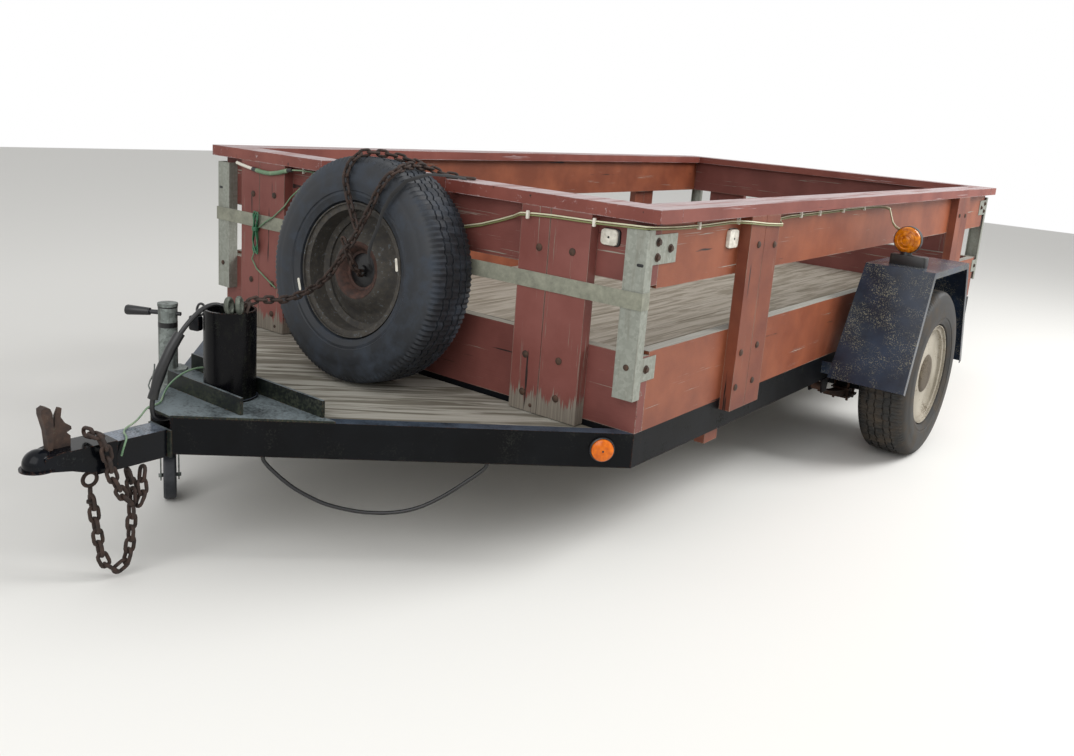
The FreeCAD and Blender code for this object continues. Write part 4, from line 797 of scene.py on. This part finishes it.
mesh = bmesh.new()
for sign in (1, -1):
    aside = ACROSS * sign
    for face, out in ((HEAD_FACE, -1), (GATE_FACE, 1)):
        for inward, z in ((0.058, 0.606), (0.058, 0.922), (0.058, 0.964), (0.125, 0.943)):
            foot = Vector((sign * IRON_SIDE, face + out * (IRON_STAND - inward), z))
            hexagon_head(mesh, foot, aside, 0.0085)
    for y in (AXLE_REAR - 0.375, AXLE_REAR + 0.375):
        hexagon_head(mesh, Vector((sign * (SIDE_FACE + 0.006), y, 0.385)), aside, 0.009)
settle(mesh, "iron_tab_bolts", rusty_bolt)

# Reflectors on the headboard and the sides, each a pale face in a dark surround
mesh, rims = bmesh.new(), bmesh.new()
for sign in (1, -1):
    on_head = (Vector((sign * 0.814, HEAD_FACE, 0.9595)), -REAR, 0.070, 0.054)
    on_side = (Vector((sign * SIDE_FACE, HEAD_FACE + 0.461, 0.9485)), ACROSS * sign, 0.076, 0.066)
    for middle, out, width, height in (on_head, on_side):
        aside = UP.cross(out) * (0.004 * sign)
        rounded_block(rims, middle + aside, out, UP, width - 0.010, height - 0.004, 0.006, 0.012)
        rounded_block(mesh, middle, out, UP, width - 0.014, height - 0.008, 0.012, 0.012)
        spun(rims, [(0.011, 0.0035), (0.0125, 0.0035), (0.0127, 0)], middle, out, 10)
settle(mesh, "reflector_faces", clear_reflector)
settle(rims, "reflector_surrounds", soft_black)

# Fenders: folded sheet standing off the box, with a lip turned down outside and a short stay at each foot
FENDER_INSIDE, FENDER_OUTSIDE = [0.990, 1.020, 1.020, 0.990], 1.292
FENDER_PATH = [(-0.414, 0.346), (-0.250, 0.800), (0.250, 0.800), (0.414, 0.346)]
FENDER_SHEET, FENDER_LIP = 0.003, 0.025
mesh = bmesh.new()
sides = [(Vector(b) - Vector(a)).normalized() for a, b in zip(FENDER_PATH, FENDER_PATH[1:])]
normals = [Vector((-side.y, side.x)) for side in sides]
for sign in (1, -1):
    rings = []
    for number, corner in enumerate(FENDER_PATH):
        before, after = normals[max(number - 1, 0)], normals[min(number, 2)]
        mitre = (before + after) / (1 + before.dot(after))
        inside, lip_back = FENDER_INSIDE[number], FENDER_OUTSIDE - FENDER_SHEET
        ring = []
        for x, depth in ((inside, 0), (FENDER_OUTSIDE, 0), (FENDER_OUTSIDE, FENDER_LIP),
                         (lip_back, FENDER_LIP), (lip_back, FENDER_SHEET), (inside, FENDER_SHEET)):
            y, z = Vector(corner) - mitre * depth
            ring.append(mesh.verts.new((sign * x, AXLE_REAR + y, z)))
        rings.append(ring)
    skin(mesh, rings)
    for end in (rings[0], rings[-1]):
        mesh.faces.new(end)
    for way in (1, -1):
        stay = Vector((sign * SIDE_FACE, AXLE_REAR + way * 0.388, 0.378))
        rounded_block(mesh, stay, ACROSS * sign, UP, 0.006, 0.050, 0.060, 0.003)
bmesh.ops.recalc_face_normals(mesh, faces=mesh.faces)
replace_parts(settle(mesh, "fender_sheets", fender_enamel_sky_tinted), "fenders")

# Lamps: beacons over the fenders, round markers on the tongue rails
BEACON_CROWN = 0.899
FENDER_TOP = 0.800
MARKER_ALONG = 1.2421 - 0.088      # the tongue rail's length, less the marker's way from its rear end


def lamps():
    lens, base, marker = bmesh.new(), bmesh.new(), bmesh.new()
    for sign in (1, -1):
        foot = Vector((sign * 1.150, 0.422, FENDER_TOP))
        rounded_block(base, foot, UP, REAR, 0.143, 0.050, 0.040, 0.010)
        crown = Vector((sign * 1.135, 0.422, BEACON_CROWN))
        spun(base, [(0.038, 0.024), (0.056, 0.022)], Vector((crown.x, crown.y, FENDER_TOP)), UP, 20)
        hoop = [(-0.012, 0.0535), (-0.012, 0.0545), (0.012, 0.0545), (0.012, 0.0535)]
        spun(base, hoop, crown, REAR, 36)
        for way in (1, -1):
            spun(lens, [(0.011, 0.0525), (0.018, 0.0505), (0.024, 0.046), (0.028, 0.036), (0.026, 0.033),
                        (0.033, 0.020), (0.031, 0.017), (0.036, 0)], crown, REAR * way, 36)
        rail = RAIL_FRONT + RAIL_ALONG * MARKER_ALONG
        foot = Vector((sign * rail.x, rail.y, FRAME_BOTTOM + 0.055))
        out = Vector((sign * RAIL_OUT.x, RAIL_OUT.y, 0))
        spun(base, [(0, 0.036), (0.008, 0.036), (0.010, 0.033)], foot, out, 32)
        spun(marker, [(0.004, 0.0325), (0.015, 0.0315), (0.020, 0.026), (0.022, 0.012), (0.0225, 0)],
             foot, out, 32)
        spun(base, [(0.020, 0.0030), (0.0230, 0.0030), (0.0233, 0)], foot, out, 12)
    lens_piece = settle(lens, "beacon_lenses", amber_lens)
    settle(marker, "marker_lenses", marker_lens)
    settle(base, "lamp_bases", soft_black)
    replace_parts(lens_piece, "amber_lamps")


lamps()

# The cable's thick sleeve, ragged at its ends
SLEEVE = [(-1, -2036, 630), (-3.5, -2062, 590), (-7, -2079, 555), (-11.5, -2091, 520), (-15, -2101, 486),
          (-16.5, -2107, 458)]
mesh = bmesh.new()
sleeve_line = [Vector(point) * MM for point in SLEEVE]
sweep(mesh, sleeve_line, 14 * MM, 16)
for vertex in mesh.verts:
    vertex.co += Vector((math.sin(vertex.co.z * 310), math.cos(vertex.co.z * 270), 0)) * 0.0016
settle(mesh, "cable_sleeve", soft_black)

# The strap that draws the spare back, from the hub over the tread to the cap
STRAP_HALF_THICK = 0.0013
STRAP = [(318, -1296, 1066), (302, -1345, 1074), (276, -1415, 1076), (246, -1472, 1054),
         (218, -1500, 1012), (192, -1508, 964), (177, -1512, 914), (159, -1516, 870), (144, -1514, 832),
         (130, -1498, 796), (118, -1476, 772)]
centre, axis, body = WHEELS["spare"]
line = [Vector(point) * MM for point in STRAP]
outward = []
for point in line:
    along = (point - centre).dot(axis)
    spoke = (point - centre - axis * along).normalized()
    share = min(max((along - 0.050) / 0.050, 0), 1)
    outward.append((spoke * (1 - share) + axis * share).normalized())
mesh = bmesh.new()
sweep(mesh, line, STRAP_HALF_THICK, 8, wide=5.2, faces_out=outward)
settle(mesh, "spare_tie_strap", black_webbing)

# Two pale dashes on the spare's side wall, by the rim's lip
mesh = bmesh.new()
for middle in (Vector((-0.1461, -1.5337, 0.6897)), Vector((0.2498, -1.5014, 0.8113))):
    way = axis.cross(middle - centre).normalized()
    rounded_block(mesh, middle, axis, way, 0.009, 0.040, 0.002, 0.0042)
settle(mesh, "spare_wall_pale_dashes", white_nylon)

# Wires across the far posts: braided sleeve, taped joint, sagging tube, and the tied bundle
FAR_Y = -1283
bent_bars("far_white_sleeve", [(6, False, [(-830, FAR_Y, 1004), (-802, FAR_Y, 999), (-766, FAR_Y, 994),
                                           (-733, FAR_Y, 990)])],
          white_nylon)
bent_bars("far_taped_joint", [(8, False, [(-735, FAR_Y, 990), (-712, FAR_Y, 988)]),
                              (7, False, [(-538, FAR_Y, 1004), (-512, FAR_Y, 1008)])],
          soft_black)
bent_bars("far_sagging_tube", [(8, False, [(-714, FAR_Y, 988), (-676, FAR_Y, 984), (-633, FAR_Y, 984),
                                           (-585, FAR_Y, 992), (-536, FAR_Y, 1004)])],
          green_pvc)
FAR_WIRES = [
    (2.6, False, [(-512, FAR_Y, 1008), (-480, FAR_Y + 8, 1010), (-450, -1246, 1008),
                  (-425, -1244, 1006)]),
    (2.6, False, [(-440, -1246, 1008), (-456, -1252, 985), (-479, -1262, 957), (-521, -1280, 912),
                  (-553, FAR_Y, 875), (-610, FAR_Y - 3, 831), (-650, FAR_Y - 5, 809),
                  (-690, FAR_Y - 5, 783)]),
    (2.6, False, [(-716, FAR_Y - 4, 690), (-734, FAR_Y - 2, 660), (-708, FAR_Y, 626), (-650, FAR_Y, 598),
                  (-596, FAR_Y, 572)]),
]
bent_bars("far_thin_wires", FAR_WIRES, green_pvc)


def tied_bundle():
    """The wire's spare length, folded into loops and tied round its middle."""
    bars = []
    for number in range(5):
        lean = (number - 2) * 9
        drop = 96 + 14 * math.sin(2.1 * number)
        loop = []
        for step in range(18):
            turn = math.tau * step / 18
            waist = 1.0 - 0.72 * math.exp(-((math.sin(turn) - 0.15) / 0.33) ** 2)
            loop.append((-706 + lean * (math.sin(turn) ** 2) + 15 * math.cos(turn) * waist,
                         FAR_Y - 4 - 2.2 * number, 762 + drop * 0.72 * math.sin(turn)))
        bars.append((2.5, True, loop))
    for number in range(3):
        tie = (-706, FAR_Y - 9, 770 + 5 * number)
        bars.append((2.4, True, ring_route(tie, 11, (0, 0.1, 1), steps=14)))
    bent_bars("tied_wire_bundle", bars, green_wire, sides=6)


tied_bundle()

# The cap's wire: a flat pair, cream and olive, under the caps, over the posts and out to the beacon
CAP_RUN = [(262, -1243.5, 912), (340, -1243.5, 930), (410, -1243.5, 952), (470, -1249, 972),
           (508, -1274, 984), (532, -1294, 990), (572, -1284, 993), (640, -1282, 996), (780, -1282, 998),
           (900, -1282, 1003), (946, -1277, 1004), (960, -1250, 1004), (957, -1200, 1001),
           (956, -1100, 998), (956, -950, 997), (956, -800, 1000), (972, -758, 1001), (996, -727, 1000),
           (995, -684, 996), (995, -617, 990), (995, -550, 986), (997, -507, 984), (974, -474, 988),
           (956, -434, 996), (956, -350, 1000), (956, -90, 1002), (956, 140, 1005), (956, 400, 1006),
           (958, 540, 1006), (975, 572, 1005), (996, 574, 1000), (1020, 534, 972), (1045, 485, 952),
           (1068, 455, 940), (1096, 428, 934)]
for name, lift, finish in (("cap_wire_cream", 3.1, cream_wire), ("cap_wire_olive", -3.1, olive_wire)):
    route = [(x, y, z + lift) for x, y, z in CAP_RUN]
    strand = bent_bars(name, [(2.3, False, route)], finish, sides=8)
    if lift > 0:
        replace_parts(strand, "cap_wire")

# White clips and staples that hold it
mesh = bmesh.new()
for x, out, z in ((-499, 0, 1008), (784, 40, 998), (560, 52, 991)):
    middle = Vector((x, HEAD_FACE * 1000 - out, z)) * MM
    rounded_block(mesh, middle, -REAR, UP, 0.008, 0.024, 0.008, 0.003)
for y, z in ((-1002, 999), (-751, 1002), (-266, 1003), (-95, 1003), (142, 1006), (375, 1007)):
    rounded_block(mesh, Vector((952, y, z)) * MM, ACROSS, UP, 0.009, 0.022, 0.010, 0.003)
settle(mesh, "cap_wire_clips", white_nylon)

# Jack's dark cap and stained band, and the crank's tapered grip
mesh = bmesh.new()
spun(mesh, [(0.560, 0.0279), (0.576, 0.0279)], JACK, UP, 28)
spun(mesh, [(JACK_TOP - 0.008, 0.0282), (JACK_TOP, 0.0279), (JACK_TOP + 0.0012, 0.025),
            (JACK_TOP + 0.0012, 0)], JACK, UP, 28)
spun(mesh, [(0.058, 0), (0.058, 0.0115), (0.090, 0.0135), (0.120, 0.0155), (0.125, 0.0135), (0.1255, 0)],
     JACK + UP * (JACK_TOP - 0.026), CRANK_WAY, 24)
settle(mesh, "jack_cap_and_band", soft_black)

# Weld bead round the pipe's foot
foot_ring = ring_route((0, -1884, 430), 72.5, (0, 0, 1), steps=56)
bent_bars("pipe_foot_weld", [(3.2, True, foot_ring)], chassis_black)

# Black patches on the corner irons' faces, painted shade standing in for their slots, and the hook of
# wire beside the jack
mesh = bmesh.new()
for sign in (1, -1):
    slot_shade_place = Vector((sign * 0.939, HEAD_FACE - IRON_STAND, 0.902))
    rounded_block(mesh, slot_shade_place, -REAR, UP, 0.022, 0.009, 0.0006, 0.0043)
settle(mesh, "iron_slot_shades", soft_black)
bent_bars("jack_hook_wire", [(2.2, False, [(-272, -1950, 470), (-274, -1950, 452), (-281, -1950, 434),
                                           (-298, -1950, 412), (-306, -1950, 397), (-301, -1950, 386),
                                           (-283, -1950, 388)])],
          aged_zinc, sides=8)


def camera_and_light():
    view = bpy.data.cameras.new("photo_view")
    view.sensor_width = 36.0
    view.lens = FOCAL_PIXELS / IMAGE_WIDTH * view.sensor_width
    view.shift_x = -MIDDLE_RIGHT / IMAGE_WIDTH
    view.shift_y = -MIDDLE_UP / IMAGE_WIDTH
    camera = placed("photo_view", view)
    camera.matrix_world = Matrix.LocRotScale(CAMERA_PLACE, CAMERA_TURN, None)
    bpy.context.scene.camera = camera

    # Two broad lamps: a key from the left and the rear, and a weak fill from the front
    for name, place, size, power in (("key_lamp", (4.2, 2.6, 4.4), 3.0, 330.0),
                                     ("fill_lamp", (1.5, -5.0, 3.4), 4.0, 110.0)):
        light = bpy.data.lights.new(name, "AREA")
        light.size = size
        light.energy = power
        aim = Vector((0, 0, 0.5)) - Vector(place)
        turn = aim.to_track_quat("-Z", "Y")
        placed(name, light).matrix_world = Matrix.LocRotScale(Vector(place), turn, None)

    # White where it is seen or mirrored, dimmer as the light that falls on the trailer
    world = bpy.data.worlds.new("studio_sky")
    bpy.context.scene.world = world
    world.use_nodes = True
    world.node_tree.nodes.clear()
    add = partial(add_node, world.node_tree)
    path = world.node_tree.nodes.new("ShaderNodeLightPath")
    passed = add("Math", {0: path.outputs["Is Glossy Ray"], 1: path.outputs["Is Transmission Ray"]},
                 operation="MAXIMUM")
    seen = add("Math", {0: path.outputs["Is Camera Ray"], 1: passed}, operation="MAXIMUM")
    strength = add("MapRange", {"Value": seen, "To Min": 0.62, "To Max": 1.0})
    sky = add("Background", {"Color": linear("#ffffff"), "Strength": strength})
    add("OutputWorld", {"Surface": sky})

    mesh = bpy.data.meshes.new("studio_floor")
    reach = 14.0
    corners = [(-reach, -reach, 0), (reach, -reach, 0), (reach, reach, 0), (-reach, reach, 0)]
    mesh.from_pydata(corners, [], [(0, 1, 2, 3)])
    floor = placed("studio_floor", mesh)
    material, add, place = surface("pale_studio_floor")
    shader = add("BsdfPrincipled", {"Base Color": linear("#e4e3df"), "Roughness": 0.9})
    add("OutputMaterial", {"Surface": shader})
    mesh.materials.append(material)
    bpy.context.scene.view_settings.view_transform = "Standard"


camera_and_light()
